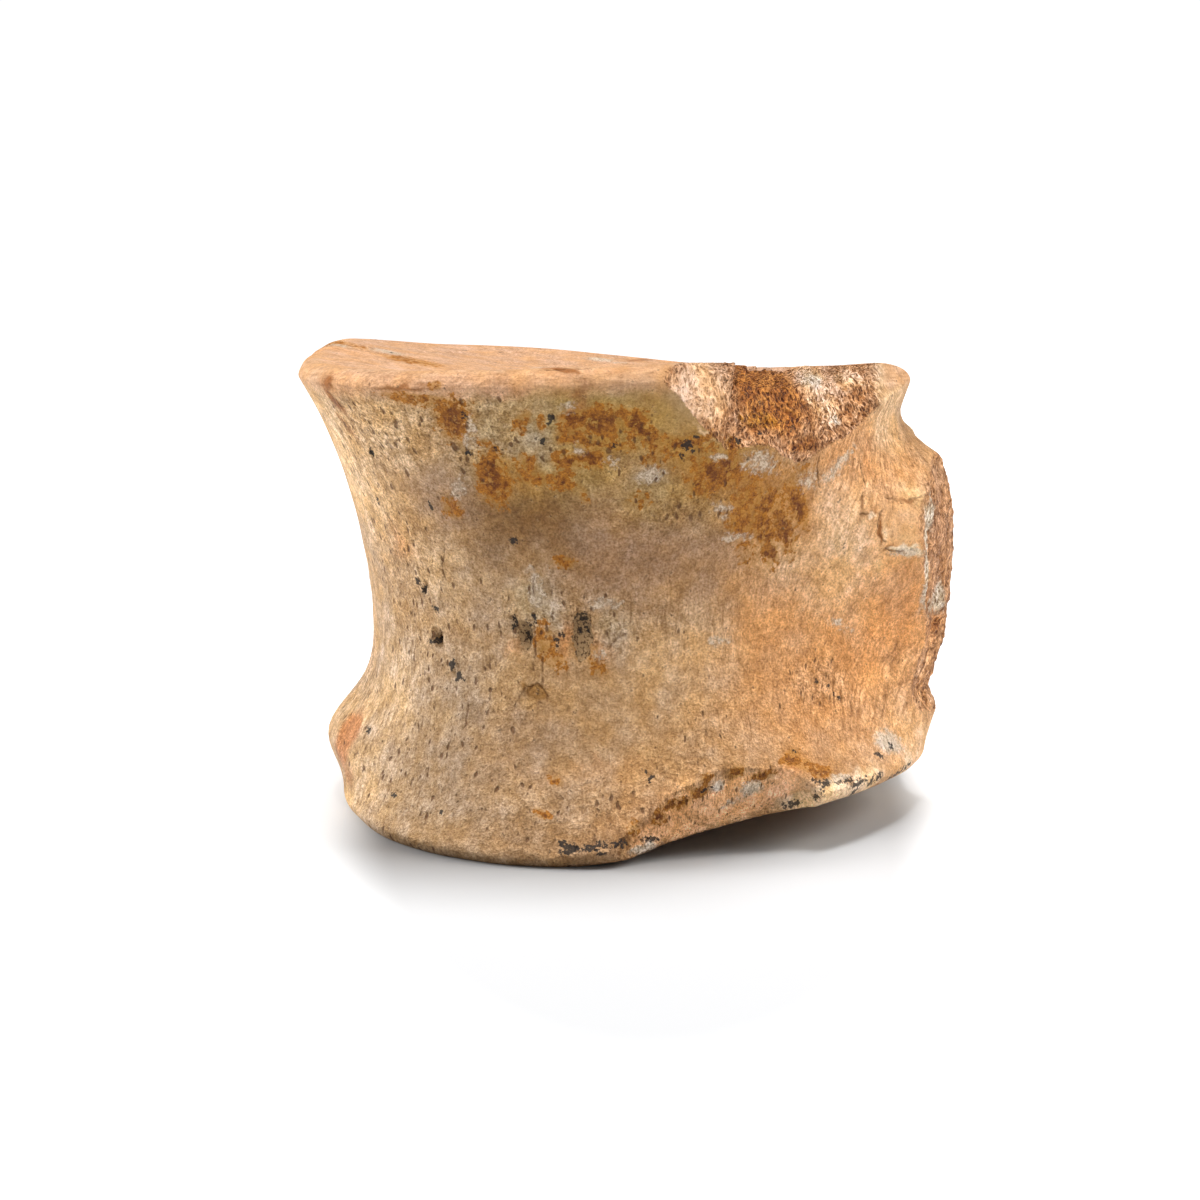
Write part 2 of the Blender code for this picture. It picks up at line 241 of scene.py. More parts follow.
# %% One point of the bone
def dish(share, depth):
    """Depth below the rim at a share of the face's radius, with the pit at its centre."""
    pit = PIT_DEPTH * (1 - smooth(share * TOP_SIDE, 0, PIT_RADIUS))
    return depth * (1 - share ** 2) ** 1.3 + pit


def bone_point(angle, along):
    """A point of the surface. along runs from the upper face's centre (0) over the
    lip, down the side and round the foot to the lower face's centre (1)."""
    top, low = top_level(angle), low_level(angle)
    rim, foot = top_rim(angle), low_rim(angle)
    if along < FACE_END:
        share = along / FACE_END
        radius = share * (rim - LIP_IN)
        height = LENGTH + (top - LENGTH) * share ** 1.5 - dish(share, DISH_TOP)
    elif along < LIP_END:
        turn = (along - FACE_END) / (LIP_END - FACE_END) * math.pi / 2
        radius = rim - LIP_IN + LIP_IN * math.sin(turn)
        height = top - LIP_HIGH + LIP_HIGH * math.cos(turn)
    elif along < WALL_END:
        share = (WALL_END - along) / (WALL_END - LIP_END)
        height = low + FOOT_HIGH + (top - LIP_HIGH - low - FOOT_HIGH) * share
        radius = wall_radius(angle, share, height)
    elif along < FOOT_END:
        turn = (FOOT_END - along) / (FOOT_END - WALL_END) * math.pi / 2
        wall = wall_radius(angle, 0, low + FOOT_HIGH)
        radius = foot - FOOT_IN + FOOT_IN * math.sin(turn)
        radius += (wall - foot) * math.sin(turn) ** 2
        height = low + FOOT_HIGH - FOOT_HIGH * math.cos(turn)
    else:
        share = (1 - along) / (1 - FOOT_END)
        middle = WORN_HEIGHT * WORN_SHARE_OF_FACE
        radius = share * (foot - FOOT_IN)
        height = middle + (low - middle) * share ** 1.5 + dish(share, DISH_LOW)
    axis = AXIS_AT_BASE + (AXIS_AT_TOP - AXIS_AT_BASE) * height / LENGTH
    turn = math.radians(angle)
    return Vector((axis + radius * math.cos(turn), radius * math.sin(turn), height))


HEART = Vector(((AXIS_AT_TOP + AXIS_AT_BASE) / 2, 0, LENGTH / 2))
print("waist at the front, mm from the axis:", round(-bone_point(270, 0.5).y / MM, 1))

# %% [markdown]
# ## Broken surfaces
# Where bone broke off, the surface is rough and follows the direction of the
# break. In CAD each break is a block that is cut away. Here the points that lay
# in such a block slide back towards the bone's heart until they reach the
# break, so the surface stays one closed skin. The large upper break has three
# facets with steps between them.

# %% The breaks
# In mm: a point on the break, its half sizes, the height of its grain, and the
# place, width and rise of its ledges. faces is its direction outwards, and bow
# says how it curves across and up, per metre.
BREAKS = {
    "upper_rim": {
        "on": (24.9, -30.9, 56.2), "faces": (0.566, -0.627, 0.536), "half": (36, 22),
        "bow": (0, 0), "rough": 0.4,
        "ledges": ((-10.8, 0.6, -1.6), (0.3, 1.5, 0.5), (12.5, 7, 2.2)),
    },
    "near_pedicle": {
        "on": (46.6, -13.0, 36.0), "faces": (0.902, -0.432, 0.0), "half": (16, 24),
        "bow": (0, -7), "rough": 0.8, "ledges": (),
    },
    "far_pedicle": {
        "on": (45.2, 13.0, 36.0), "faces": (0.91, 0.40, 0.0), "half": (16, 32),
        "bow": (0, -7), "rough": 0.8, "ledges": (),
    },
    "lower_rim": {
        "on": (12.4, -38.6, 6.0), "faces": (0.38, -0.92, -0.10), "half": (18, 13),
        "bow": (8, 12), "rough": 0.5, "ledges": (),
    },
    "knob": {
        "on": (-37.4, -12.6, 10.2), "faces": (-0.86, -0.51, 0.0), "half": (10, 10),
        "bow": (25, 25), "rough": 0.35, "ledges": (),
    },
}
BREAK_GRAIN = 6 * MM
# A break fades out over the outer part of its block
EDGE_LIFT, EDGE_FROM = 3 * MM, 0.8
# How often a point slides on, and the flattest angle it meets a break at
SLIDES, FLATTEST = 4, 0.3
LEDGE_LEAN = 0.48
# The upper break runs down to a tip, and its left facet slopes; in mm along it
TIP_AT, TIP_HALF, TIP_DEPTH, TIP_FULL = 2.5, 4.5, 2.6, 8
FACET_TO, FACET_SOFT, FACET_FADE, FACET_REST = -10.8, 0.3, 7.0, 0.45
FACET_SLOPE, FACET_FROM = 0.36, 5.5 * MM
FACET_LOW, FACET_HIGH = -8 * MM, 2 * MM


def prepare(spec):
    """The directions of a break: outwards, upwards and across."""
    facing = Vector(spec["faces"]).normalized()
    up = (Vector((0, 0, 1)) - facing * facing.z).normalized()
    return Vector(spec["on"]) * MM, facing, up, up.cross(facing)


def break_height(across, up, spec):
    """Height of a broken surface over its plane: its bow, ledges and grain."""
    height = spec["bow"][0] * across ** 2 + spec["bow"][1] * up ** 2
    leaned = (across - LEDGE_LEAN * up) / MM
    for place, width, rise in spec["ledges"]:
        height += rise * MM * smooth(leaned, place - width / 2, place + width / 2)
    if spec["ledges"]:
        tip = math.exp(-(((leaned - TIP_AT) / TIP_HALF) ** 2))
        height -= TIP_DEPTH * MM * tip * smooth(-up / MM, 0, TIP_FULL)
        past_step = smooth(leaned, FACET_TO - FACET_SOFT, FACET_TO + FACET_SOFT)
        past_fade = smooth(leaned, FACET_TO, FACET_TO + FACET_FADE)
        facet = 1 - past_step * (1 - FACET_REST) - past_fade * FACET_REST
        height += facet * FACET_SLOPE * max(min(up - FACET_FROM, FACET_HIGH), FACET_LOW)
    spot = Vector((across / BREAK_GRAIN, up / BREAK_GRAIN, sum(spec["on"])))
    return height + spec["rough"] * MM * noise.fractal(spot, 1.0, 2.0, 2)


BREAK_FRAMES = {name: prepare(spec) for name, spec in BREAKS.items()}


# %% Slide a point back to a break
def over_break(point, name):
    """How far a point lies outside a break, in metres, or None beside it."""
    on, facing, up, across = BREAK_FRAMES[name]
    spec = BREAKS[name]
    away = point - on
    a, b = away.dot(across), away.dot(up)
    edge = max(abs(a) / spec["half"][0], abs(b) / spec["half"][1]) / MM
    if edge > 1:
        return None
    lift = EDGE_LIFT * smooth(edge, EDGE_FROM, 1)
    return away.dot(facing) - break_height(a, b, spec) - lift


def slide_back(point):
    """The point moved onto any break it lay beyond, and the break's name."""
    cut_by = None
    for name, (on, facing, up, across) in BREAK_FRAMES.items():
        over = over_break(point, name)
        if over is None or over <= 0:
            continue
        cut_by = name
        inwards = (HEART - point).normalized()
        for _ in range(SLIDES):
            point = point + inwards * over / max(-inwards.dot(facing), FLATTEST)
            over = over_break(point, name)
            if over is None:
                break
    return point, cut_by


def swell(point):
    """The point moved in or out by the surface's unevenness."""
    outward = (point - HEART).normalized()
    for size, height in SWELLS:
        point = point + outward * height * noise.noise(point / size)
    return point


def plain_point(place):
    """From a direction on the unit ball to the bone's surface, without fine detail."""
    down = math.acos(max(-1.0, min(1.0, place.z))) / math.pi
    angle = math.degrees(math.atan2(place.y, place.x))
    point, cut_by = slide_back(swell(bone_point(angle, down)))
    return Vector((point.x, point.y, max(point.z, RUBBED_OFF))), cut_by


# %% [markdown]
# ## A ball to shape
# A ball of rings has a pole at each end where its triangles crowd together. A
# cube whose faces are divided and then pushed out to a ball has squares of
# nearly one size instead, which suits a surface that gets fine detail all over.

# %% Make the ball
BALL_CUTS = 76

skin = bmesh.new()
bmesh.ops.create_cube(skin, size=1)
bmesh.ops.subdivide_edges(skin, edges=skin.edges, cuts=BALL_CUTS, use_grid_fill=True)


def round_off(shape):
    """Pushes every point of a shape out to the unit ball."""
    for vert in shape.verts:
        vert.co = vert.co.normalized()


round_off(skin)
print("ball:", len(skin.verts), "points,", len(skin.faces), "faces")


# %% The coarse bone
def shaped(shape):
    """Plain points of the whole ball, and the break that cuts each."""
    made = [plain_point(vert.co) for vert in shape.verts]
    return [point for point, cut_by in made], [cut_by for point, cut_by in made]


coarse, coarse_cuts = shaped(skin)
polygons = [[vert.index for vert in face.verts] for face in skin.faces]
tree = BVHTree.FromPolygons(coarse, polygons)
print("points on breaks:", sum(cut_by is not None for cut_by in coarse_cuts))

# %% [markdown]
# ## Marks on the bone
# Stains, crusts, specks and holes are marks with a place, a size and a tilt. On
# the side that the photograph shows, a mark's place is a pixel: a ray from the
# camera finds the spot on the bone, and the mark then lies in the surface
# there, with its real size, so that it looks right from every side.
# Each mark is (x, y, half width, half height, strength, tilt in degrees). Its
# strength is 1 and its tilt 0 where they are left out.

# %% Tones for painting
def tone(red, green, blue):
    """A colour as a picture shows it, 0 to 255, turned into the light it reflects."""
    parts = (value / 255 for value in (red, green, blue))
    return (*(part / 12.92 if part <= 0.04045 else ((part + 0.055) / 1.055) ** 2.4 for part in parts), 1)


PAINT = {name: np.array(tone(*numbers)) for name, numbers in {
    "sand": (178, 140, 100), "stone": (165, 136, 104), "chalk": (202, 171, 138),
    "straw": (194, 153, 104), "umber": (124, 86, 42), "olive": (170, 108, 22),
    "mauve": (160, 124, 94), "peach": (226, 178, 132), "apricot": (212, 150, 94),
    "amber": (222, 150, 84), "rose": (205, 158, 122), "lip": (206, 156, 114),
    "bronze": (150, 94, 46), "scar_with_painted_shade": (194, 134, 88), "cream_with_painted_light": (240, 204, 164),
    "copper": (206, 132, 66), "brown": (172, 106, 44), "snow": (236, 212, 186),
    "granular": (190, 136, 92), "pale": (238, 198, 152), "chip_with_painted_light": (250, 190, 138),
    "dust": (150, 108, 58), "moss": (172, 138, 76), "ice": (180, 160, 132),
    "blush": (232, 186, 146),
}.items()}

# %% [markdown]
# The bone's colour changes over a few millimetres to a few centimetres, where
# water carried iron into it or left chalk on it. It is painted the way a model
# maker would: a coat of one tone, then wide soft patches of other tones over it,
# in order, and small ones with firmer edges last. Some small ones also paint
# light and shade. The chip and the cream band on the lower rim are painted
# lighter because they face down, away from the lamps. The scar, the line under
# the lip and the strokes round the loose plate are partly painted shade and
# highlight.

# %% Patches of colour, laid over each other in this order
PATCHES = (
    ("stone", (
        (440, 770, 120, 90, 0.9), (490, 690, 80, 60, 0.6), (540, 810, 90, 50, 0.8),
        (470, 590, 60, 50, 0.5),
    )),
    ("chalk", (
        (400, 675, 32, 60, 0.9), (438, 578, 36, 40, 0.8), (368, 790, 22, 60, 0.8),
        (525, 600, 40, 22, 0.6), (648, 655, 34, 24, 0.6), (684, 685, 40, 26, 0.7),
        (380, 740, 30, 50, 0.4), (500, 425, 50, 24, 0.4), (430, 655, 30, 40, 0.5),
    )),
    ("straw", (
        (390, 425, 50, 40, 0.8), (398, 520, 26, 60, 0.7), (420, 620, 34, 34, 0.5),
        (690, 630, 90, 50, 0.6), (640, 700, 110, 40, 0.5), (600, 760, 80, 40, 0.3),
        (345, 440, 26, 60, 0.7, -20), (355, 802, 12, 16, 0.7), (430, 400, 60, 26, 0.6),
        (590, 610, 60, 14, 0.4),
    )),
    ("umber", (
        (580, 838, 60, 9, 0.6, 4), (640, 806, 22, 12, 0.5), (520, 836, 50, 8, 0.35),
        (400, 468, 34, 22, 0.25), (440, 522, 34, 34, 0.22), (520, 468, 16, 10, 0.25),
        (600, 535, 24, 20, 0.2), (482, 640, 30, 40, 0.16), (720, 600, 40, 20, 0.12),
        (528, 505, 58, 48), (470, 500, 36, 26, 0.7), (565, 545, 36, 26, 0.8), (600, 555, 30, 18, 0.5),
        (482, 648, 10, 20, 0.4), (560, 500, 40, 40, 0.5),
    )),
    ("moss", (
        (600, 430, 100, 34), (560, 470, 90, 22, 0.9), (700, 450, 60, 30, 0.9), (590, 400, 90, 10, 0.9),
        (670, 495, 60, 26, 0.8), (655, 418, 28, 22, 0.9), (690, 446, 40, 12, 0.8, 10),
        (720, 500, 40, 30, 0.6),
    )),
    ("olive", (
        (760, 508, 40, 56, 0.9, 28), (800, 505, 20, 40, 0.8, 25), (530, 480, 40, 14, 0.4),
        (720, 475, 36, 20, 0.7), (690, 455, 90, 28, 0.28), (770, 470, 40, 22, 0.35),
        (850, 440, 44, 26, 0.28),
    )),
    ("ice", (
        (485, 430, 18, 22, 0.6), (535, 440, 20, 16, 0.6), (510, 452, 16, 8, 0.5),
        (540, 606, 26, 24, 0.8), (612, 618, 16, 20, 0.9), (460, 470, 30, 14, 0.3),
        (650, 478, 14, 7, 0.6, 20), (470, 700, 30, 40, 0.2),
    )),
    ("mauve", (
        (640, 560, 70, 40, 0.9), (700, 560, 60, 40, 0.6), (440, 490, 36, 30, 0.6),
        (510, 740, 60, 40, 0.3), (640, 600, 60, 20, 0.6),
    )),
    ("apricot", (
        (890, 480, 50, 60, 0.9), (880, 590, 90, 90, 0.8), (830, 670, 110, 90, 0.8),
        (780, 625, 60, 60, 0.8), (700, 805, 60, 24, 0.8, 14),
    )),
    ("peach", (
        (843, 520, 30, 64, 1.0, 8), (862, 580, 34, 36, 0.8), (905, 520, 26, 24, 0.5),
        (915, 740, 26, 30, 0.9), (885, 745, 22, 18, 0.7), (740, 790, 50, 16, 0.7, 14),
        (800, 560, 22, 60, 0.5, 24), (900, 640, 40, 80, 0.35),
    )),
    ("amber", (
        (890, 665, 40, 80, 0.9), (885, 595, 30, 24, 0.8), (845, 625, 24, 24, 0.35),
        (882, 545, 20, 40, 0.35), (840, 450, 24, 40, 0.5, 20), (922, 690, 12, 40, 0.4),
        (848, 425, 26, 26, 0.35), (878, 592, 24, 16, 0.3), (842, 620, 20, 14, 0.3),
    )),
    ("copper", (
        (893, 583, 30, 30, 0.7), (906, 690, 12, 24, 0.8, 10), (884, 690, 5, 22, 0.6, 10),
        (868, 450, 5, 26, 0.5, -6), (790, 768, 18, 10, 0.7, 20), (562, 640, 10, 20, 0.5),
        (600, 650, 8, 14, 0.4), (512, 646, 8, 12, 0.4), (936, 622, 11, 14, 0.9, 15),
        (400, 540, 10, 14, 0.5),
    )),
    ("pale", (
        (345, 460, 26, 80, 0.8, -15), (375, 600, 20, 60, 0.4), (395, 690, 24, 50, 0.4),
        (880, 560, 40, 50, 0.4), (850, 560, 40, 40, 0.4), (350, 700, 20, 40, 0.5),
        (922, 755, 30, 30, 0.35), (720, 800, 40, 20, 0.6, 14), (918, 500, 12, 16, 0.8),
        (900, 710, 30, 60, 0.4), (780, 560, 30, 20, 0.35), (355, 790, 20, 40, 0.4),
        (888, 410, 16, 36, 0.7), (500, 660, 40, 40, 0.2), (430, 560, 30, 30, 0.25),
        (680, 650, 50, 50, 0.25), (380, 440, 50, 40, 0.35, -20), (362, 715, 16, 30, 0.5),
        (905, 740, 30, 60, 0.3),
    )),
)

# %% Smaller patches with firmer edges
DETAILS = (
    ("lip", (
        (345, 377, 24, 8), (395, 382, 30, 9), (450, 380, 30, 9), (505, 383, 30, 10),
        (552, 377, 26, 7, 0.9), (600, 371, 26, 4, 0.8), (640, 369, 20, 3, 0.7),
    )),
    # Brown streaks at the upper left and along the lip. The dark line along the lip's lower edge is partly
    # the bone's darker tone and partly painted shade under the overhanging lip
    ("bronze", (
        (327, 382, 6, 9, 0.8, 20), (334, 400, 4, 18, 0.8, 24), (402, 388, 34, 3.5, 0.7, 2),
        (346, 425, 3.5, 18, 0.6, 24), (548, 368, 40, 1.6, 0.9), (640, 360, 16, 2, 0.6),
        (425, 386, 12, 5, 0.5),
    )),
    # At the right: brown patches, and thin dark strokes along the loose plate's edges, partly its brown
    # tone and partly painted shade beside its raised edges
    ("bronze", (
        (904, 575, 22, 15, 0.42), (888, 592, 18, 22, 0.3), (862, 505, 3, 14, 0.5),
        (874, 513, 9, 4, 0.5), (908, 501, 15, 2.5, 0.6, -12), (880, 533, 3, 14, 0.9),
        (889, 548, 8, 2.5, 0.7, 20), (901, 518, 9, 8, 0.4), (940, 545, 8, 14, 0.6),
        (944, 575, 5, 8, 0.6), (938, 505, 7, 8, 0.4), (852, 470, 2.5, 16, 0.5, -8),
        (833, 470, 2.5, 12, 0.4, 20),
    )),
    # Pale patches, and thin pale strokes on the loose plate's edges, partly its pale border and partly
    # painted highlights where its raised edges catch the light
    ("pale", (
        (877, 566, 7, 9, 0.6), (886, 531, 3, 10, 0.6), (912, 489, 18, 4, 0.5, -8),
        (906, 537, 14, 6, 0.4), (852, 551, 12, 5, 0.5, 20), (838, 540, 10, 10, 0.5),
        (936, 528, 6, 8, 0.5), (928, 565, 2.5, 18, 0.6),
    )),
    ("granular", ((790, 434, 44, 18, 0.8), (850, 400, 26, 26, 0.8), (940, 550, 14, 60, 0.9))),
    ("blush", ((700, 392, 32, 30), (818, 392, 15, 32, 1.2), (846, 382, 20, 12, 0.8))),
    # The chip on the lower rim: pale broken bone, painted lighter still as painted light because it faces
    # down, away from the lamps
    ("chip_with_painted_light", ((690, 814, 40, 18, 1.4, 14), (748, 795, 42, 17, 1.4, 14), (648, 836, 16, 12, 1.1, 10))),
    ("brown", (
        (769, 396, 29, 36, 1.3), (755, 428, 16, 10, 0.6), (802, 446, 20, 8, 0.7, 10),
        (743, 386, 4, 24, 1.2), (856, 393, 12, 12, 0.5), (845, 414, 12, 12, 0.5, 10),
    )),
    # The smooth band of outer skin on the lower right rim: its own pale tone, painted lighter as painted
    # light because it faces down, away from the lamps
    ("cream_with_painted_light", (
        (800, 800, 18, 7, 1.4, 10), (828, 793, 20, 9, 1.4, 14), (860, 788, 24, 8, 1.4, 8),
        (888, 780, 16, 7, 1.3, 20), (906, 768, 10, 6, 1.2, 35),
    )),
    ("snow", (
        (812, 380, 12, 10, 0.75), (938, 597, 7, 14, 1.0, 20), (930, 515, 6, 10, 1.2),
        (735, 801, 24, 6, 0.35, 16), (690, 819, 22, 6, 0.3, 16), (904, 548, 17, 2.5),
        (926, 560, 1.6, 46, 0.9), (871, 516, 5, 3, 0.6), (914, 553, 9, 4, 0.9),
        (888, 744, 14, 10, 0.7, -20), (752, 789, 12, 6, 0.8), (717, 786, 7, 5, 0.7),
        (643, 848, 14, 5, 0.7, 8), (770, 778, 10, 5, 0.5),
    )),
    ("pale", ((357, 722, 8, 24, 0.7, -15), (347, 802, 12, 10, 0.6), (706, 432, 16, 1.8, 0.7, -38))),
    # The scar of the broken knob: orange-brown broken bone, and partly painted shade standing for its facet
    # turning away from the light
    ("scar_with_painted_shade", ((347, 732, 10, 22, 1.0, -15), (341, 752, 9, 14, 0.8, -10), (348, 775, 7, 12, 0.6))),
    ("dust", ((536, 693, 11, 8, 1.3, 20), (524, 686, 4, 3, 0.7), (640, 398, 30, 9, 0.4))),
    ("straw", ((527, 703, 7, 6, 1.2), (862, 524, 3, 12, 0.5))),
)

# %% [markdown]
# Old skin of bone isn't the same everywhere: it is open and gritty in one place,
# streaked by fibres in another, and calm where it was rubbed or is dense.

# %% Where the skin is open, calm or streaked
PATTERNS = {
    "porous": (
        (380, 425, 60, 40, 1.1), (470, 430, 60, 40), (400, 560, 50, 80, 0.8), (440, 690, 70, 90, 0.8),
        (400, 790, 60, 50, 0.9), (520, 810, 80, 40, 0.7), (620, 820, 60, 30, 0.7),
        (560, 620, 70, 30, 0.8), (820, 685, 30, 24), (700, 745, 40, 40, 0.4), (600, 450, 90, 30, 0.7),
        (700, 800, 60, 30, 0.8), (680, 505, 60, 24, 0.8), (340, 440, 30, 60, 0.6, -20),
        (680, 770, 60, 26, 0.5),
    ),
    "calm": (
        (698, 392, 32, 34, 1.2), (818, 380, 18, 16, 0.7), (905, 525, 24, 30, 0.8),
        (430, 740, 70, 90, 0.5), (600, 760, 120, 60, 0.3), (690, 812, 44, 16, 0.6, 14),
        (748, 795, 44, 14, 0.6, 14), (920, 500, 12, 16, 0.5),
    ),
    "streaky": (
        (345, 430, 40, 60), (380, 700, 50, 80, 0.9), (880, 450, 50, 70, 1.1), (840, 560, 60, 90, 0.6),
        (880, 690, 70, 60), (775, 530, 40, 50, 0.8), (640, 800, 80, 50, 0.5), (400, 800, 60, 50, 0.7),
        (700, 620, 90, 50, 0.5), (400, 550, 50, 60, 0.5),
    ),
}

# %% Stains, crusts and specks with ragged edges
STAINS = {
    "ochre": (
        (453, 419, 15, 17, 1.1), (420, 399, 36, 5, 0.8, -6), (494, 478, 14, 22, 1.1), (518, 426, 4, 8),
        (528, 415, 2.5, 6, 0.9), (541, 423, 3.5, 7, 0.9), (527, 461, 8, 5), (577, 420, 15, 9, 1.1),
        (603, 422, 15, 14, 1.2), (622, 411, 8, 4), (568, 436, 10, 6), (592, 440, 18, 6, 0.9),
        (566, 461, 12, 7, 1.1), (592, 458, 12, 7, 1.2), (637, 422, 10, 10, 1.2),
        (650, 436, 14, 5, 1.1, -15), (675, 443, 16, 5, 1.0, 5), (657, 450, 10, 5, 0.9),
        (654, 463, 7, 6, 0.8), (535, 478, 14, 6, 0.8), (562, 481, 12, 7, 0.8), (452, 508, 9, 9, 0.7),
        (491, 446, 9, 2.5, 0.9, -25), (436, 385, 6, 4, 0.8), (624, 446, 14, 4, 0.8),
        (583, 495, 3, 10, 0.6, 20), (640, 500, 14, 8, 0.4), (703, 488, 14, 8, 0.8),
        (719, 471, 22, 14, 1.1), (732, 447, 8, 9, 0.9), (758, 503, 26, 16, 0.75),
        (745, 472, 34, 16, 0.4), (690, 452, 40, 18, 0.35, 10), (800, 478, 20, 14, 0.35, 20),
        (798, 505, 8, 20, 1.1, 24), (784, 530, 8, 22, 1.1, 24), (770, 552, 7, 14, 1.0, 24),
        (742, 524, 12, 18, 0.7, 30), (764, 530, 8, 22, 0.85, 30), (750, 556, 14, 16, 0.35, 30),
        (790, 492, 12, 14, 0.6, 20), (692, 442, 12, 6, 0.9), (562, 561, 11, 4, 0.9),
        (636, 614, 16, 3, 0.7, 15), (675, 805, 14, 5, 1.0, 8), (659, 817, 7, 7, 0.95),
        (707, 779, 6, 4, 0.9, 30), (540, 813, 8, 2, 0.8), (558, 780, 10, 3, 0.7, 20),
        (791, 758, 9, 6, 0.95, 20), (805, 765, 14, 5, 0.95, -30), (822, 773, 10, 4, 0.9),
        (700, 792, 10, 5, 0.9, 20), (737, 772, 8, 5, 0.8, 20), (762, 776, 12, 4, 0.8, 10),
        (545, 640, 10, 18, 0.6), (556, 662, 12, 8, 0.6, -20), (596, 660, 8, 14, 0.6, 20),
        (634, 830, 5, 8, 0.6), (760, 420, 20, 8, 0.55),
    ),
    "white": (
        (760, 463, 16, 8, 0.85, -12), (808, 481, 9, 8, 0.7, 30), (838, 466, 18, 6, 0.7, 35),
        (718, 457, 8, 3, 0.8), (651, 475, 11, 5, 0.9, 25), (722, 510, 9, 5, 0.7),
        (736, 538, 14, 3, 0.7), (458, 488, 5, 10, 0.8, -30), (605, 604, 14, 6, 0.6),
        (538, 594, 5, 16, 0.7), (568, 406, 7, 4, 0.8), (580, 449, 5, 4, 0.7), (611, 461, 5, 5, 0.7),
        (930, 516, 4, 10, 1.1), (938, 597, 6, 13, 1.0, 20), (888, 741, 13, 9, 0.8, -20),
        (751, 787, 9, 5), (717, 786, 6, 5, 0.8), (905, 552, 16, 3, 0.8), (735, 800, 20, 5, 0.3, 16),
        (932, 602, 5, 9, 0.9, 20), (835, 420, 4, 5, 0.9), (720, 640, 12, 4, 0.5),
        (645, 848, 12, 5, 0.9, 8), (470, 433, 4, 14, 0.6, -10), (840, 625, 12, 4, 0.5, -20),
        (600, 655, 6, 7, 0.6), (838, 778, 10, 3, 0.8),
    ),
    "black": (
        (552, 417, 3, 3, 1.1), (549, 423, 2, 2), (542, 441, 2.5, 3, 1.2), (583, 619, 7, 6, 0.75),
        (584, 632, 6, 7, 0.62), (527, 637, 4, 9, 0.62), (528, 624, 4, 4, 0.7), (469, 453, 3, 2.5, 1.1),
        (464, 416, 3, 4, 0.8), (495, 449, 2.5, 2, 0.9), (513, 541, 4, 3, 1.2, 30),
        (418, 582, 2, 4, 1.2, -25), (424, 590, 2, 5, 1.2, -20), (431, 506, 1.5, 5, 0.9),
        (436, 609, 3, 2.5, 1.2, -30), (434, 641, 6, 2.5, 1.0, 10), (452, 665, 2.5, 5, 1.2, -30),
        (459, 675, 2.5, 5, 1.2, -25), (463, 679, 3, 1.5, 0.9, -30), (614, 445, 2.5, 2, 1.2, 30),
        (687, 445, 4, 4, 1.3, 30), (696, 437, 2, 2, 1.1), (692, 451, 2, 2), (682, 456, 2.5, 3, 0.8),
        (738, 441, 3, 3, 0.9), (394, 795, 2.5, 2), (369, 730, 2, 3), (442, 812, 2, 2, 0.8),
        (515, 620, 3, 4.5, 1.1, 20), (513, 627, 2, 2.5, 0.9), (535, 619, 1.8, 5, 1.1, 20),
        (557, 641, 2, 3, 0.9), (562, 635, 2.5, 2.5), (556, 647, 3, 2, 0.9, 30),
        (712, 787, 2, 1.5, 0.9), (705, 790, 4, 2, 0.9, 20), (890, 745, 2, 4.5, 0.8, 10),
        (879, 755, 3.5, 2, 1.1, -30), (371, 452, 2, 4, 1.2, -25), (378, 500, 1.5, 4, 0.8, -20),
        (828, 686, 1.5, 1.5), (834, 694, 2, 1.5), (839, 698, 1.5, 1.5), (816, 682, 2, 2.5, 0.9),
        (813, 780, 2, 2, 0.8), (570, 850, 8, 4.5, 1.1, 20), (563, 844, 4, 3),
        (589, 849, 7, 3.5, 1.1, 15), (602, 854, 5, 2, 0.9), (651, 778, 2, 4, 0.9, -30),
        (646, 771, 1.5, 3, 0.8, -30), (794, 752, 2, 2, 0.6), (758, 433, 3, 2, 0.8),
    ),
}
print("marks:", sum(len(marks) for kinds in (PATTERNS, STAINS) for marks in kinds.values()))

# %% [markdown]
# The lower right rim keeps a smooth band of its outer skin, with strokes of black
# mineral over it. Thin cracks run down the middle and round a loose plate at the
# right. Both follow lines of pixels, and so does the step under the upper lip.

# %% Lines of black mineral, cracks and the lip's lower edge
DENDRITES = (
    ((816, 783), (824, 784), (829, 781)), ((826, 784), (822, 791), (816, 799)),
    ((786, 806), (791, 803), (797, 802)), ((838, 783), (843, 781), (850, 780)),
    ((858, 788), (854, 792), (851, 795)), ((853, 786), (860, 783), (867, 779)),
    ((869, 783), (875, 779), (881, 776)), ((888, 779), (895, 775), (902, 770)),
    ((904, 770), (910, 764)), ((646, 839), (656, 838)), ((598, 846), (606, 845)),
    ((616, 845), (624, 843)),
)
CRACKS = (
    ((534, 567), (532, 587), (535, 606), (534.5, 629), (535.7, 658), (543, 659), (543, 681)),
    ((535.7, 658), (533, 662), (532, 670)),
    ((593, 643), (601, 642), (609, 647), (618, 638), (625, 635)),
    ((442.5, 540), (443, 560), (444, 580)),
    ((464, 739), (466, 720), (468, 697)),
    ((820, 457), (817, 468), (820, 488)),
    ((862, 461), (864, 484), (860, 514), (868, 514)),
    ((886, 497), (903, 503), (920, 497), (929, 494)),
    ((883, 512), (878, 523), (878, 533), (886, 543)),
    ((886, 548), (897, 552), (910, 549), (923, 549)),
    ((739, 372), (737, 392), (738, 412), (735, 420), (742, 430)),
    ((510, 368), (540, 370), (590, 369)),
    ((518, 681), (524, 687), (531, 688), (538, 684), (541, 689), (547, 696), (543, 702)),
    ((543, 682), (541, 689)), ((543, 702), (534, 704), (530, 709), (521, 707), (519, 697), (524, 687)),
)
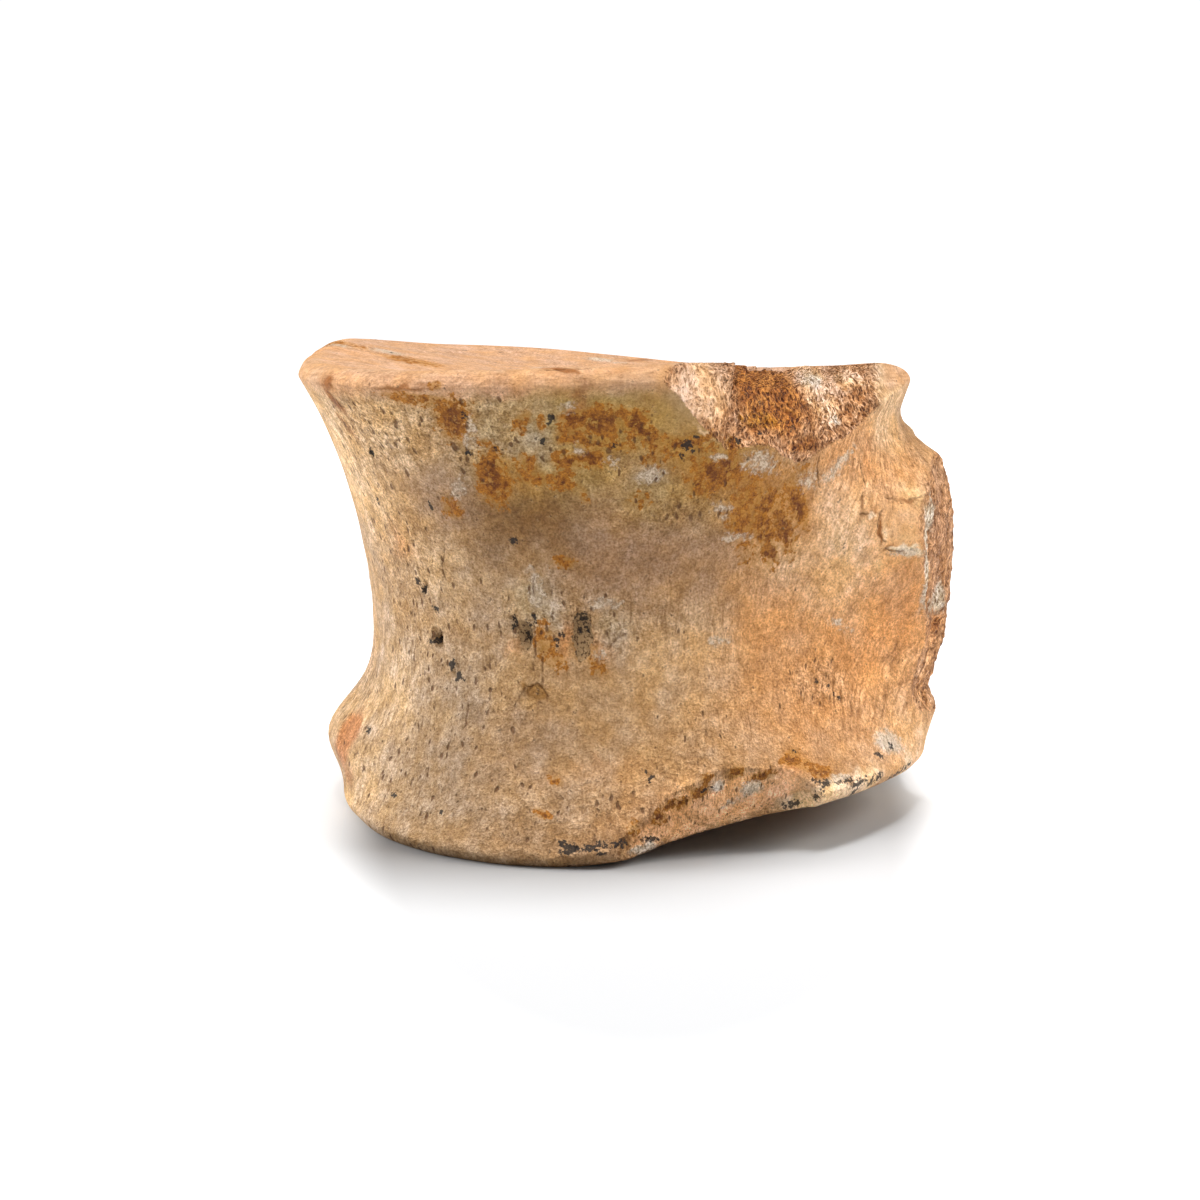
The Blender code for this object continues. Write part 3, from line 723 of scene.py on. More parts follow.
WHITE_LINES = (
    ((930, 497), (928, 512), (926.5, 530), (926, 560), (925, 590), (924, 608)),
    ((533, 570), (532, 588), (534, 602)),
)
LIP_EDGE = (
    (330, 383), (355.8, 386.6), (408.6, 389.9), (440.7, 389.5), (486.6, 397), (532.5, 398.5),
    (578.5, 391.8), (620, 386), (660, 383),
)


# %% Find the marks on the bone
SLANT_LIMIT = 0.35


def hit(x, y):
    """The spot of the coarse bone that the camera sees at a pixel, and its normal."""
    ray = pixel_ray(x, y)
    spot, normal = tree.ray_cast(CAMERA_PLACE, ray)[:2]
    if spot is None:
        spot, normal = tree.find_nearest(CAMERA_PLACE + ray * CAMERA_DISTANCE)[:2]
        print("pixel", (x, y), "is beside the bone; took the nearest spot")
    return spot, normal


def hit_lines(lines):
    """The spots on the bone under lines of pixels."""
    return [[hit(*pixel)[0] for pixel in line] for line in lines]


def lay_mark(x, y, half_wide, half_high, strength=1.0, tilt=0):
    """A mark of the photograph as a small patch lying in the bone's surface."""
    spot, normal = hit(x, y)
    sideways = Vector((0, 0, 1)).cross(normal).normalized()
    upwards = normal.cross(sideways)
    turn = math.radians(tilt)
    across = sideways * math.cos(turn) + upwards * math.sin(turn)
    along = upwards * math.cos(turn) - sideways * math.sin(turn)
    size = (spot - CAMERA_PLACE).dot(LOOK) / FOCAL_PIXELS
    slant_x = max(abs(sideways.dot(LOOK_RIGHT)), SLANT_LIMIT)
    slant_y = max(abs(upwards.dot(LOOK_UP)), SLANT_LIMIT)
    return spot, across / (half_wide * size / slant_x), along / (half_high * size / slant_y), strength


def lay_all(layers):
    """The marks of every named layer, in the layers' order."""
    return [(name, [lay_mark(*mark) for mark in marks]) for name, marks in layers]


all_marks = dict(lay_all([*STAINS.items(), *PATTERNS.items()]))
patches, details = lay_all(PATCHES), lay_all(DETAILS)
crack_lines, dendrite_lines = hit_lines(CRACKS), hit_lines(DENDRITES)
white_lines, lip_lines = hit_lines(WHITE_LINES), hit_lines([LIP_EDGE])
print("first stain lies at, mm:", [round(value / MM, 1) for value in all_marks["ochre"][0][0]])

# %% [markdown]
# The photograph shows one side only. The rest of the bone lay in the same rock,
# so it gets marks of the same kinds and sizes, scattered with a fixed seed so
# that every run gives the same bone.

# %% Marks on the sides that the photograph doesn't show
HIDDEN_PATCHES = {
    "stone": (9, 8.0, 0.8), "chalk": (9, 6.5, 0.8), "straw": (9, 7.5, 0.8), "umber": (6, 6.0, 0.8),
    "olive": (8, 6.5, 0.8), "mauve": (8, 7.0, 0.7), "apricot": (8, 7.5, 0.8), "peach": (8, 5.5, 0.8),
    "amber": (6, 5.5, 0.7), "copper": (9, 3.0, 0.8),
}
HIDDEN_MARKS = {
    "porous": (22, 8.0, 0.9), "streaky": (22, 8.0, 0.9), "ochre": (44, 2.6, 0.75),
    "white": (26, 1.4, 1.0), "black": (60, 0.42, 1.15),
}


# Angles that the photograph shows, and how far down the ball it shows them
SEEN_FROM, SEEN_TO, SEEN_DOWN = 190, 356, 0.78
POLE_GAP = 0.06


def scatter(count, size, strength, chance):
    """Marks of one kind on the back, the far left and right, and the end faces."""
    marks = []
    while len(marks) < count:
        angle = chance.uniform(0, 360)
        down = chance.uniform(POLE_GAP, 1 - POLE_GAP)
        if SEEN_FROM < angle < SEEN_TO and down < SEEN_DOWN:
            continue
        turn = math.radians(angle)
        place = Vector((
            math.sin(math.pi * down) * math.cos(turn),
            math.sin(math.pi * down) * math.sin(turn),
            math.cos(math.pi * down),
        ))
        spot, cut_by = plain_point(place)
        normal = tree.find_nearest(spot)[1]
        sideways = Vector((0, 0, 1)).cross(normal)
        if sideways.length < 0.05:
            sideways = Vector((1, 0, 0))
        sideways.normalize()
        upwards = normal.cross(sideways)
        wide = size * MM * chance.uniform(0.5, 1.5)
        high = size * MM * chance.uniform(0.5, 1.5)
        marks.append((spot, sideways / wide, upwards / high, strength * chance.uniform(0.7, 1.1)))
    return marks


chance = random.Random(SEED)
hidden = [(name, scatter(*numbers, chance)) for name, numbers in HIDDEN_PATCHES.items()]
for kind, numbers in HIDDEN_MARKS.items():
    all_marks[kind] += scatter(*numbers, chance)
print({kind: len(marks) for kind, marks in all_marks.items()})

# %% [markdown]
# ## Finer squares where the detail is
# Fine detail needs small squares, but only on the broken surfaces, round the
# openings and under the small marks. Their edges are cut in three, which makes
# nine squares of one. Along the cracks they are cut once more.

# %% Openings of the blood vessels
# Angle, height, half width and half height of each
OPENINGS = (
    (262.4, 27.15 * MM, 1.15 * MM, 3.0 * MM),
    (250.3, 27.1 * MM, 0.80 * MM, 1.9 * MM),
    (228.5, 25.6 * MM, 0.75 * MM, 1.2 * MM),
    (97.0, 27.5 * MM, 1.10 * MM, 2.4 * MM),
    (110.0, 29.0 * MM, 0.85 * MM, 1.8 * MM),
)
OPENING_DEPTH = 1.1 * MM


def opening_spot(angle, height):
    along = WALL_END - (WALL_END - LIP_END) * height / LENGTH
    return swell(bone_point(angle, along))


# Small hollows of the photograph: as marks, with the depth in mm as their strength
HOLLOWS = (
    (535, 694, 11, 10, 0.25), (349, 730, 9, 19, 0.45, -15), (935, 622, 5, 7, 0.6, 20),
    (437, 636, 5, 8, 0.6), (514, 622, 3.5, 6, 0.5, 20), (424, 588, 2.5, 7, 0.4, -25),
    (456, 670, 2.5, 8, 0.35, -28), (371, 452, 2.5, 5, 0.4, -25), (675, 805, 10, 4, 0.3, 8),
    (772, 368, 28, 5), (861, 524, 2, 10, 0.3), (900, 528, 18, 16, 0.25),
)

opening_spots = [opening_spot(angle, height) for angle, height, wide, high in OPENINGS]
hollow_marks = [lay_mark(*mark) for mark in HOLLOWS]
print("first opening, mm:", [round(value / MM, 1) for value in opening_spots[0]])


# %% Refine the squares
def line_points(lines, step):
    """Points along lines, a step apart."""
    points = []
    for line in lines:
        for start, end in zip(line, line[1:]):
            count = max(1, round((end - start).length / step))
            points += [start.lerp(end, part / count) for part in range(count + 1)]
    return points


def near(points, centres, reach):
    """For each point, whether it lies within reach of any centre."""
    found = np.zeros(len(points), bool)
    for centre in centres:
        found |= ((points - np.array(centre)) ** 2).sum(1) < reach ** 2
    return found


def refine(shape, wanted, cuts):
    """Cuts the edges of every face that has a wanted point."""
    shape.verts.index_update()
    edges = {}
    for face in shape.faces:
        if any(wanted[vert.index] for vert in face.verts):
            edges |= dict.fromkeys(face.edges)
    bmesh.ops.subdivide_edges(shape, edges=list(edges), cuts=cuts, use_grid_fill=True)
    round_off(shape)


SPECK_REACH = 0.9 * MM
HOLLOW_REACH = 2.4 * MM
OPENING_REACH = 3.4 * MM
CRACK_REACH = 0.55 * MM
FINE_REACH = 2.2 * MM
LINE_STEP, CRACK_STEP = 1 * MM, 0.3 * MM
# The first hollows of the list are the larger ones
LARGE_HOLLOWS = 4
# Chip, scar, left facet's edge and loose plate, as lines of pixels
FINE_LINES = (
    ((640, 846), (690, 812), (750, 788), (800, 796), (850, 788), (900, 770)),
    ((345, 712), (350, 748)), ((700, 425), (730, 440)), ((884, 512), (886, 545), (920, 550)),
)

points = np.array([tuple(point) for point in coarse])
wanted = np.array([cut_by is not None for cut_by in coarse_cuts])
wanted |= near(points, opening_spots, OPENING_REACH)
wanted |= near(points, [mark[0] for mark in all_marks["black"]], SPECK_REACH)
wanted |= near(points, [mark[0] for mark in hollow_marks[:LARGE_HOLLOWS]], HOLLOW_REACH)
thin_lines = crack_lines + dendrite_lines + white_lines + lip_lines
wanted |= near(points, line_points(thin_lines, LINE_STEP), SPECK_REACH)
wanted |= near(points, line_points(hit_lines(FINE_LINES), LINE_STEP), FINE_REACH)
refine(skin, wanted, 2)
print("after refining:", len(skin.verts), "points")

points = np.array([tuple(point) for point in shaped(skin)[0]])
refine(skin, near(points, line_points(crack_lines, CRACK_STEP), CRACK_REACH), 1)
skin.verts.index_update()
print("after the cracks:", len(skin.verts), "points")

# %% [markdown]
# ## Fine relief
# Fossil bone that has broken shows its spongy inside: small holes between thin
# struts, taller than wide here. Voronoi noise gives each hole a centre, and
# the distance to it says how deep the surface sinks.

# %% Relief of the broken surfaces
SPONGE_WIDE, SPONGE_HIGH = 0.75 * MM, 1.7 * MM
SPONGE_DEPTH, SPONGE_GRAIN = 0.19 * MM, 0.26 * MM
SPONGE_SWAY, SWAY_SCALE = 0.35, 0.7
STRUT_EDGE, HOLE_EDGE = 0.1, 0.55


def sponge(point):
    """Depth of the holes in broken bone at a point, 0 on the struts to 1."""
    spot = Vector((point.x / SPONGE_WIDE, point.y / SPONGE_WIDE, point.z / SPONGE_HIGH))
    spot += Vector((1, 1, 1)) * SPONGE_SWAY * noise.noise(spot * SWAY_SCALE)
    nearest = noise.voronoi(spot)[0]
    bumps = noise.fractal(point / SPONGE_WIDE, 1.0, 2.0, 2) * SPONGE_GRAIN / SPONGE_DEPTH
    return smooth(nearest[1] - nearest[0], STRUT_EDGE, HOLE_EDGE) + bumps


FRESH = {"upper_rim": 1.0, "near_pedicle": 0.7, "far_pedicle": 0.7, "lower_rim": 0.35, "knob": 0.2}
FRESH_TO = {"upper_rim": (13 * MM, 18 * MM), "lower_rim": (10 * MM, 13 * MM)}


def freshness(point, cut_by):
    """How rough and open a broken surface still is: 0 is worn smooth."""
    if cut_by is None:
        return 0.0
    fresh = FRESH[cut_by]
    if cut_by in FRESH_TO:
        on, facing, up, across = BREAK_FRAMES[cut_by]
        away = point - on
        leaned = away.dot(across) - (LEDGE_LEAN * away.dot(up) if cut_by == "upper_rim" else 0)
        fresh *= 1 - smooth(leaned, *FRESH_TO[cut_by])
    return fresh


# %% Relief of the openings, cracks and crusts
CRACK_HALF, CRACK_DEPTH = 0.2 * MM, 0.2 * MM
DENDRITE_HALF, WHITE_HALF = 0.35 * MM, 0.3 * MM
DENDRITE_STRENGTH, WHITE_STRENGTH = 0.9, 1.0
CRUST_RAISE = 0.14 * MM
# A mark reaches no further into the bone than this beyond its own width
MARK_DEPTH = 3 * MM
# Edges are laid at moved points: each pair is the noise's size and its reach
OPENING_WOBBLE, HOLLOW_WOBBLE = (1.3 * MM, 0.5 * MM), (0.9 * MM, 0.5 * MM)
LINE_WOBBLE, LINE_TREMBLE = (2.0 * MM, 0.3 * MM), (0.7 * MM, 0.18 * MM)
PATCH_WOBBLE, PATCH_TREMBLE = (4.5 * MM, 1.6 * MM), (1.6 * MM, 0.8 * MM)
DETAIL_WOBBLE = (1.2 * MM, 0.6 * MM)
# How an opening's and a hollow's walls fall; both reach their full depth at 1
OPENING_EDGE, HOLLOW_GAIN, HOLLOW_EDGE = 1.25, 2.4, 0.7
CRUST_GAIN, CRUST_EDGE = 2, 0.6


def mark_strengths(points, marks):
    """Strength of the strongest mark at each point, half its own at the mark's edge."""
    total = np.zeros(len(points))
    for spot, across, along, strength in marks:
        away = points - np.array(spot)
        square = (away @ np.array(across)) ** 2 + (away @ np.array(along)) ** 2
        lateral = np.array(across).dot(np.array(across)) ** -0.5
        depth = away @ np.array(across.cross(along).normalized())
        close = np.abs(depth) < MARK_DEPTH + lateral
        total = np.maximum(total, close * strength / (1 + square ** 2))
    return total


def line_distance(points, line):
    """Distance of each point from a line of straight parts."""
    best = np.full(len(points), 1.0)
    for start, end in zip(line, line[1:]):
        start, end = np.array(start), np.array(end)
        run = end - start
        part = np.clip(((points - start) @ run) / (run @ run), 0, 1)
        away = points - start - part[:, None] * run
        best = np.minimum(best, np.sqrt((away ** 2).sum(1)))
    return best


def wobbled(points, size, reach):
    """The points moved by up to about reach, so that edges laid at them get ragged."""
    moves = [tuple(noise.noise_vector(Vector(point) / size)) for point in points]
    return points + reach * np.array(moves)


def opening_depths(points):
    """How deep each point sinks into an opening, 0 to 1."""
    points = wobbled(points, *OPENING_WOBBLE)
    depth = np.zeros(len(points))
    for spot, (angle, height, half_wide, half_high) in zip(opening_spots, OPENINGS):
        turn = math.radians(angle)
        sideways = np.array((-math.sin(turn), math.cos(turn), 0))
        away = points - np.array(spot)
        square = (away @ sideways / half_wide) ** 2 + (away[:, 2] / half_high) ** 2
        same_side = (away ** 2).sum(1) < (3 * half_high) ** 2
        depth = np.maximum(depth, same_side * np.clip(OPENING_EDGE - square, 0, 1) ** 0.5)
    return depth


def hollow_depths(points):
    """Depth of the small hollows at each point, in metres."""
    points = wobbled(points, *HOLLOW_WOBBLE)
    depth = np.zeros(len(points))
    for mark in hollow_marks:
        strength = mark_strengths(points, [(*mark[:3], 1.0)])
        sunk = np.clip(HOLLOW_GAIN * strength - HOLLOW_EDGE, 0, 1)
        depth = np.maximum(depth, sunk * mark[3] * MM)
    return depth


LIP_STEP, LIP_SOFT, LIP_FADE = 0.32 * MM, 0.25 * MM, 2.6 * MM


def lip_step(points):
    """Depth of the wall just under the upper lip, which stands out over it."""
    depth = np.zeros(len(points))
    for start, end in zip(lip_lines[0], lip_lines[0][1:]):
        run = np.array(end - start)
        away = points - np.array(start)
        part = (away @ run) / (run @ run)
        inside = (part >= 0) & (part < 1)
        below = part * run[2] - away[:, 2]
        close = np.linalg.norm(away - part[:, None] * run, axis=1) < 2 * LIP_FADE
        fade = np.clip(below / LIP_SOFT, 0, 1) * np.clip(1 - below / LIP_FADE, 0, 1)
        depth = np.maximum(depth, inside * close * fade * LIP_STEP)
    return depth


# %% [markdown]
# Now every point gets its final place. The plain point comes first, then the
# holes, the sunk openings and cracks and the raised crusts move it a little
# along the line from the bone's heart.

# %% Work out the final surface
final, final_cuts = shaped(skin)
points = np.array([tuple(point) for point in final])
broken = np.array([freshness(point, cut_by) for point, cut_by in zip(final, final_cuts)])
hollow = np.array([sponge(point) if cut_by else 0.0 for point, cut_by in zip(final, final_cuts)])
hollow *= broken
openings = opening_depths(points)
cracks = np.zeros(len(points))
swayed = wobbled(wobbled(points, *LINE_WOBBLE), *LINE_TREMBLE)
for line in crack_lines:
    cracks = np.maximum(cracks, np.clip(1 - line_distance(swayed, line) / CRACK_HALF, 0, 1))
masks = {kind: mark_strengths(points, marks) for kind, marks in all_marks.items()}
for kind, lines, half, strength in (
    ("black", dendrite_lines, DENDRITE_HALF, DENDRITE_STRENGTH),
    ("white", white_lines, WHITE_HALF, WHITE_STRENGTH),
):
    for line in lines:
        drawn = strength / (1 + (line_distance(swayed, line) / half) ** 2)
        masks[kind] = np.maximum(masks[kind], drawn)
print("broken share:", round(float(broken.mean()), 3))

sink = hollow * SPONGE_DEPTH + openings * OPENING_DEPTH + cracks * CRACK_DEPTH
sink += hollow_depths(points) + lip_step(points)
sink -= np.clip(masks["white"] * CRUST_GAIN - CRUST_EDGE, 0, 1) * CRUST_RAISE
inwards = np.array(HEART) - points
inwards /= np.linalg.norm(inwards, axis=1)[:, None]
points += inwards * sink[:, None]
points[:, 2] = np.maximum(points[:, 2], RUBBED_OFF)

# %% [markdown]
# The paint is laid at slightly moved points, so that the patches get uneven
# edges. Broken bone gets a grainy tone of its own twice, under and over the wide
# patches, and its lighter and darker tones stay inside the breaks. The end faces
# and the lips were rubbed and have their own base tones.

# %% Paint every point
ball_down = np.array([math.acos(max(-1.0, min(1.0, vert.co.z))) / math.pi for vert in skin.verts])
soft_places = wobbled(wobbled(points, *PATCH_WOBBLE), *PATCH_TREMBLE)
firm_places = wobbled(points, *DETAIL_WOBBLE)


def coat(colours, name, cover):
    """One tone laid over all colours, as thickly as cover says for each point."""
    colours += (PAINT[name] - colours) * cover


def paint(colours, places, layers, firm=0.0):
    """Lays patches of colour over each other in their order; firm ones end sharply."""
    for name, marks in layers:
        cover = mark_strengths(places, marks)
        cover = np.clip(cover + firm * (cover - 0.5), 0, 1)[:, None]
        if name in BREAK_TONES:
            cover *= inside
        coat(colours, name, cover)


def between(values, low, high):
    """0 at low and 1 at high, for many numbers at once; low may be the larger."""
    return np.clip((values - low) / (high - low), 0, 1)[:, None]


FIRM = 1.0
BREAK_TONES = ("granular", "blush", "brown")
UNDERCOAT, FACE_COAT, LIP_COAT = 0.7, 0.85, 0.75
FACE_FROM, FACE_FULL, LIP_FROM = FACE_END + 0.012, FACE_END - 0.004, LIP_END + 0.012

# A worn break counts as inside from half a fresh one's roughness on
inside = between(broken, 0, 0.5)
whole = between(broken, 1 / 3, 0)
top_face = between(ball_down, FACE_FROM, FACE_FULL)
lip_front = between(ball_down, LIP_FROM, LIP_END) * (1 - top_face)
colours = np.tile(PAINT["sand"], (len(points), 1))
paint(colours, soft_places, hidden)
coat(colours, "granular", UNDERCOAT * broken[:, None])
paint(colours, soft_places, patches)
coat(colours, "granular", between(broken, 0.375, 1))
coat(colours, "rose", FACE_COAT * top_face * whole)
coat(colours, "lip", LIP_COAT * lip_front * whole)
paint(colours, firm_places, details, FIRM)
print("mean tone, linear:", colours.mean(0).round(3))

# %% [markdown]
# The pattern of the bone's grain follows its surface: streaks run from rim to
# rim. A second set of coordinates unrolls the side onto a plain tube, so that a
# pattern stretched upwards in it follows the flare of the rims.

# %% Coordinates along the grain
GRAIN_RADIUS = 42 * MM
# At the neck under the upper right rim the grain spreads downwards like a fan
FAN_AT, FAN_HALF, FAN_TURN, FAN_HEIGHT = 318, 44, 0.6, 45


def grain_place(place, point):
    """Where a point lies on a plain tube round the bone, or on its flat ends."""
    down = math.acos(max(-1.0, min(1.0, place.z))) / math.pi
    reach = min(down / FACE_END, 1, (1 - down) / (1 - FOOT_END)) * GRAIN_RADIUS
    angle = math.degrees(math.atan2(place.y, place.x))
    angle -= FAN_TURN * (point[2] / MM - FAN_HEIGHT) * lobe(angle, FAN_AT, FAN_HALF)
    turn = math.radians(angle)
    return reach * math.cos(turn), reach * math.sin(turn), point[2]


grain = [grain_place(vert.co, point) for vert, point in zip(skin.verts, points)]

# %% Put the bone where the CAD solid stands
lowest, highest = points.min(0), points.max(0)
cad_low, cad_high = (np.array(corner) for corner in CAD_BOX)
shift = (cad_low + cad_high) / 2 - (lowest + highest) / 2
shift[2] = cad_low[2] - lowest[2]
points += shift
print("moved by, mm:", (shift / MM).round(2), "size, mm:", ((highest - lowest) / MM).round(2))

for vert, point in zip(skin.verts, points):
    vert.co = point
if skin.calc_volume(signed=True) < 0:
    bmesh.ops.reverse_faces(skin, faces=skin.faces)
print("volume, cubic cm:", round(skin.calc_volume() * 1e6, 1))

# %% Make the bone an object
bone_mesh = bpy.data.meshes.new("bone_surface")
skin.to_mesh(bone_mesh)
skin.free()
bone_mesh.shade_smooth()
bone = bpy.data.objects.new("bone_surface", bone_mesh)
bpy.context.scene.collection.objects.link(bone)


# How much fewer pores the end face and the lip have, and how clear the lip's lines are
CALM_FACE, CALM_LIP, LIP_LINES = 0.6, 0.5, 0.7


def store(mesh, name, values):
    """Keeps one number for each point of a mesh, for its material to read."""
    attribute = mesh.attributes.new(name, "FLOAT", "POINT")
    attribute.data.foreach_set("value", np.asarray(values, np.float32))


top_face, lip_front = top_face[:, 0], lip_front[:, 0]
masks["porous"] -= CALM_FACE * top_face + CALM_LIP * lip_front
masks |= {"broken": broken, "opening": openings, "crack": cracks, "lip": LIP_LINES * lip_front}
for name, values in masks.items():
    store(bone_mesh, name, values)
wash = bone_mesh.attributes.new("wash", "FLOAT_COLOR", "POINT")
wash.data.foreach_set("color", colours.astype(np.float32).ravel())
attribute = bone_mesh.attributes.new("grain", "FLOAT_VECTOR", "POINT")
attribute.data.foreach_set("vector", np.array(grain, np.float32).ravel())
print("bone_surface:", sum(len(face.vertices) - 2 for face in bone_mesh.polygons), "triangles")

# %% [markdown]
# ## Materials
# A material is a set of nodes that feed one Principled shader. Short helpers
# keep the recipes readable: they add a node with its settings and wires, mix two
# colours by a mask, and do arithmetic.

# %% Helpers for nodes
def add(tree, kind, sockets=(), **settings):
    """Adds a node. sockets gives its inputs by name or number: a value, or an output
    of another node to link."""
    made = tree.nodes.new("ShaderNode" + kind)
    for name, value in settings.items():
        setattr(made, name, value)
    for name, value in dict(sockets).items():
        if isinstance(value, bpy.types.NodeSocket):
            tree.links.new(value, made.inputs[name])
        else:
            made.inputs[name].default_value = value
    return made


def blend(tree, mask, first, second, how="MIX"):
    """Mixes two colours: the first where the mask is 0, the second where it is 1."""
    sockets = {0: mask, 6: first, 7: second}
    return add(tree, "Mix", sockets, data_type="RGBA", blend_type=how).outputs[2]


def calc(tree, how, first, second=0.0, third=0.0, clamp=False):
    """One step of arithmetic."""
    sockets = {0: first, 1: second, 2: third}
    return add(tree, "Math", sockets, operation=how, use_clamp=clamp).outputs[0]


def scaled(tree, value, factor):
    return calc(tree, "MULTIPLY", value, factor)


def mask_of(tree, name):
    """A number kept on the points of the mesh."""
    return add(tree, "Attribute", attribute_name=name).outputs["Fac"]


# %% [markdown]
# Stains in bone have ragged, branching edges. The mask on the mesh only says
# roughly where a stain is, so a node group adds noise to it and keeps what is
# above one half. It is used for every kind of stain, each with its own size of
# noise.

# %% Node group: ragged edges
def make_ragged():
    group = bpy.data.node_groups.new("ragged_mask", "ShaderNodeTree")
    for name, kind, value in (
        ("Vector", "NodeSocketVector", None), ("Mask", "NodeSocketFloat", 0.0),
        ("Scale", "NodeSocketFloat", 900.0), ("Raggedness", "NodeSocketFloat", 1.0),
        ("Softness", "NodeSocketFloat", 0.1),
    ):
        socket = group.interface.new_socket(name=name, in_out="INPUT", socket_type=kind)
        if value is not None:
            socket.default_value = value
    group.interface.new_socket(name="Mask", in_out="OUTPUT", socket_type="NodeSocketFloat")
    start = group.nodes.new("NodeGroupInput").outputs
    end = group.nodes.new("NodeGroupOutput")
    cloud = add(group, "TexNoise", {
        "Vector": start["Vector"], "Scale": start["Scale"], "Detail": 4.0, "Roughness": 0.62,
    }).outputs["Fac"]
    lift = calc(group, "MULTIPLY", calc(group, "SUBTRACT", cloud, 0.5), start["Raggedness"])
    close = calc(group, "MULTIPLY", start["Mask"], 4.0, clamp=True)
    lift = calc(group, "MULTIPLY", lift, scaled(group, close, 1.6))
    rough = calc(group, "ADD", start["Mask"], lift)
    low = calc(group, "SUBTRACT", 0.5, start["Softness"])
    high = calc(group, "ADD", 0.5, start["Softness"])
    kept = add(group, "MapRange", {
        "Value": rough, "From Min": low, "From Max": high,
    }, interpolation_type="SMOOTHSTEP").outputs["Result"]
    group.links.new(kept, end.inputs["Mask"])
    return group


RAGGED = make_ragged()


def ragged(tree, vector, mask, scale, raggedness, softness):
    """Places the ragged mask group with its own values."""
    node = tree.nodes.new("ShaderNodeGroup")
    node.node_tree = RAGGED
    tree.links.new(vector, node.inputs["Vector"])
    tree.links.new(mask, node.inputs["Mask"])
    for name, value in (("Scale", scale), ("Raggedness", raggedness), ("Softness", softness)):
        node.inputs[name].default_value = value
    return node.outputs["Mask"]


# %% [markdown]
# ## The bone's material
# The colour is built up in layers: the painted tones, mottling and grit, fibres
# along the grain, ochre stains and pale crusts, the holes of broken bone, small
# pores and grooves, and then dark fillings and black mineral on top. Bump comes
# from the same patterns, so that a pore is both dark and sunk.

# %% Tones of stains and fillings
TONES = {
    "ochre": tone(166, 104, 26), "ochre_dark": tone(104, 50, 0),
    "soaked": tone(180, 124, 40),
    "white": tone(230, 210, 186), "white_dark": tone(166, 138, 108),
    "black": tone(34, 29, 26), "pore": tone(98, 60, 28), "fill": tone(174, 142, 102),
    "hollow": tone(78, 56, 36), "crack": tone(92, 54, 22),
}


# %% Patterns that the recipe uses
def cloud(tree, vector, size, detail=3.0, rough=0.5):
    """Noise whose blots are about size metres across."""
    sockets = {"Vector": vector, "Scale": 1 / size, "Detail": detail, "Roughness": rough}
    return add(tree, "TexNoise", sockets).outputs["Fac"]


def stretch(tree, vector, upwards):
    """Coordinates in which a pattern grows 1 / upwards times taller."""
    return add(tree, "Mapping", {"Vector": vector, "Scale": (1, 1, upwards)}).outputs[0]


def steps(tree, value, low, high):
    """0 at low and 1 at high, with a soft step between; low may be the larger."""
    sockets = {"Value": value, "From Min": low, "From Max": high}
    return add(tree, "MapRange", sockets, interpolation_type="SMOOTHSTEP").outputs["Result"]


def spread(tree, value, low, high, to_low, to_high):
    """Turns a range of values into another range."""
    sockets = {"Value": value, "From Min": low, "From Max": high, "To Min": to_low, "To Max": to_high}
    return add(tree, "MapRange", sockets).outputs["Result"]


def holes(tree, vector, size, radius, share):
    """Small round holes, one in each cell of a size, in a share of the cells."""
    sockets = {"Vector": vector, "Scale": 1 / size, "Randomness": 1.0}
    cells = add(tree, "TexVoronoi", sockets)
    inside = steps(tree, cells.outputs["Distance"], radius, radius * 0.45)
    pick = add(tree, "SeparateColor", {0: cells.outputs["Color"]}).outputs[0]
    if isinstance(share, float):
        kept = steps(tree, pick, share, share - 0.05)
    else:
        kept = steps(tree, calc(tree, "SUBTRACT", pick, share), 0.0, -0.05)
    return calc(tree, "MULTIPLY", inside, kept)


def shaded(tree, colour, value, low, high, dark, light, amount=1.0):
    """Tints a colour by a pattern: times dark where it is low, times light where high."""
    mask = spread(tree, value, low, high, 0.0, 1.0)
    return blend(tree, amount, colour, blend(tree, mask, (*dark, 1), (*light, 1)), "MULTIPLY")


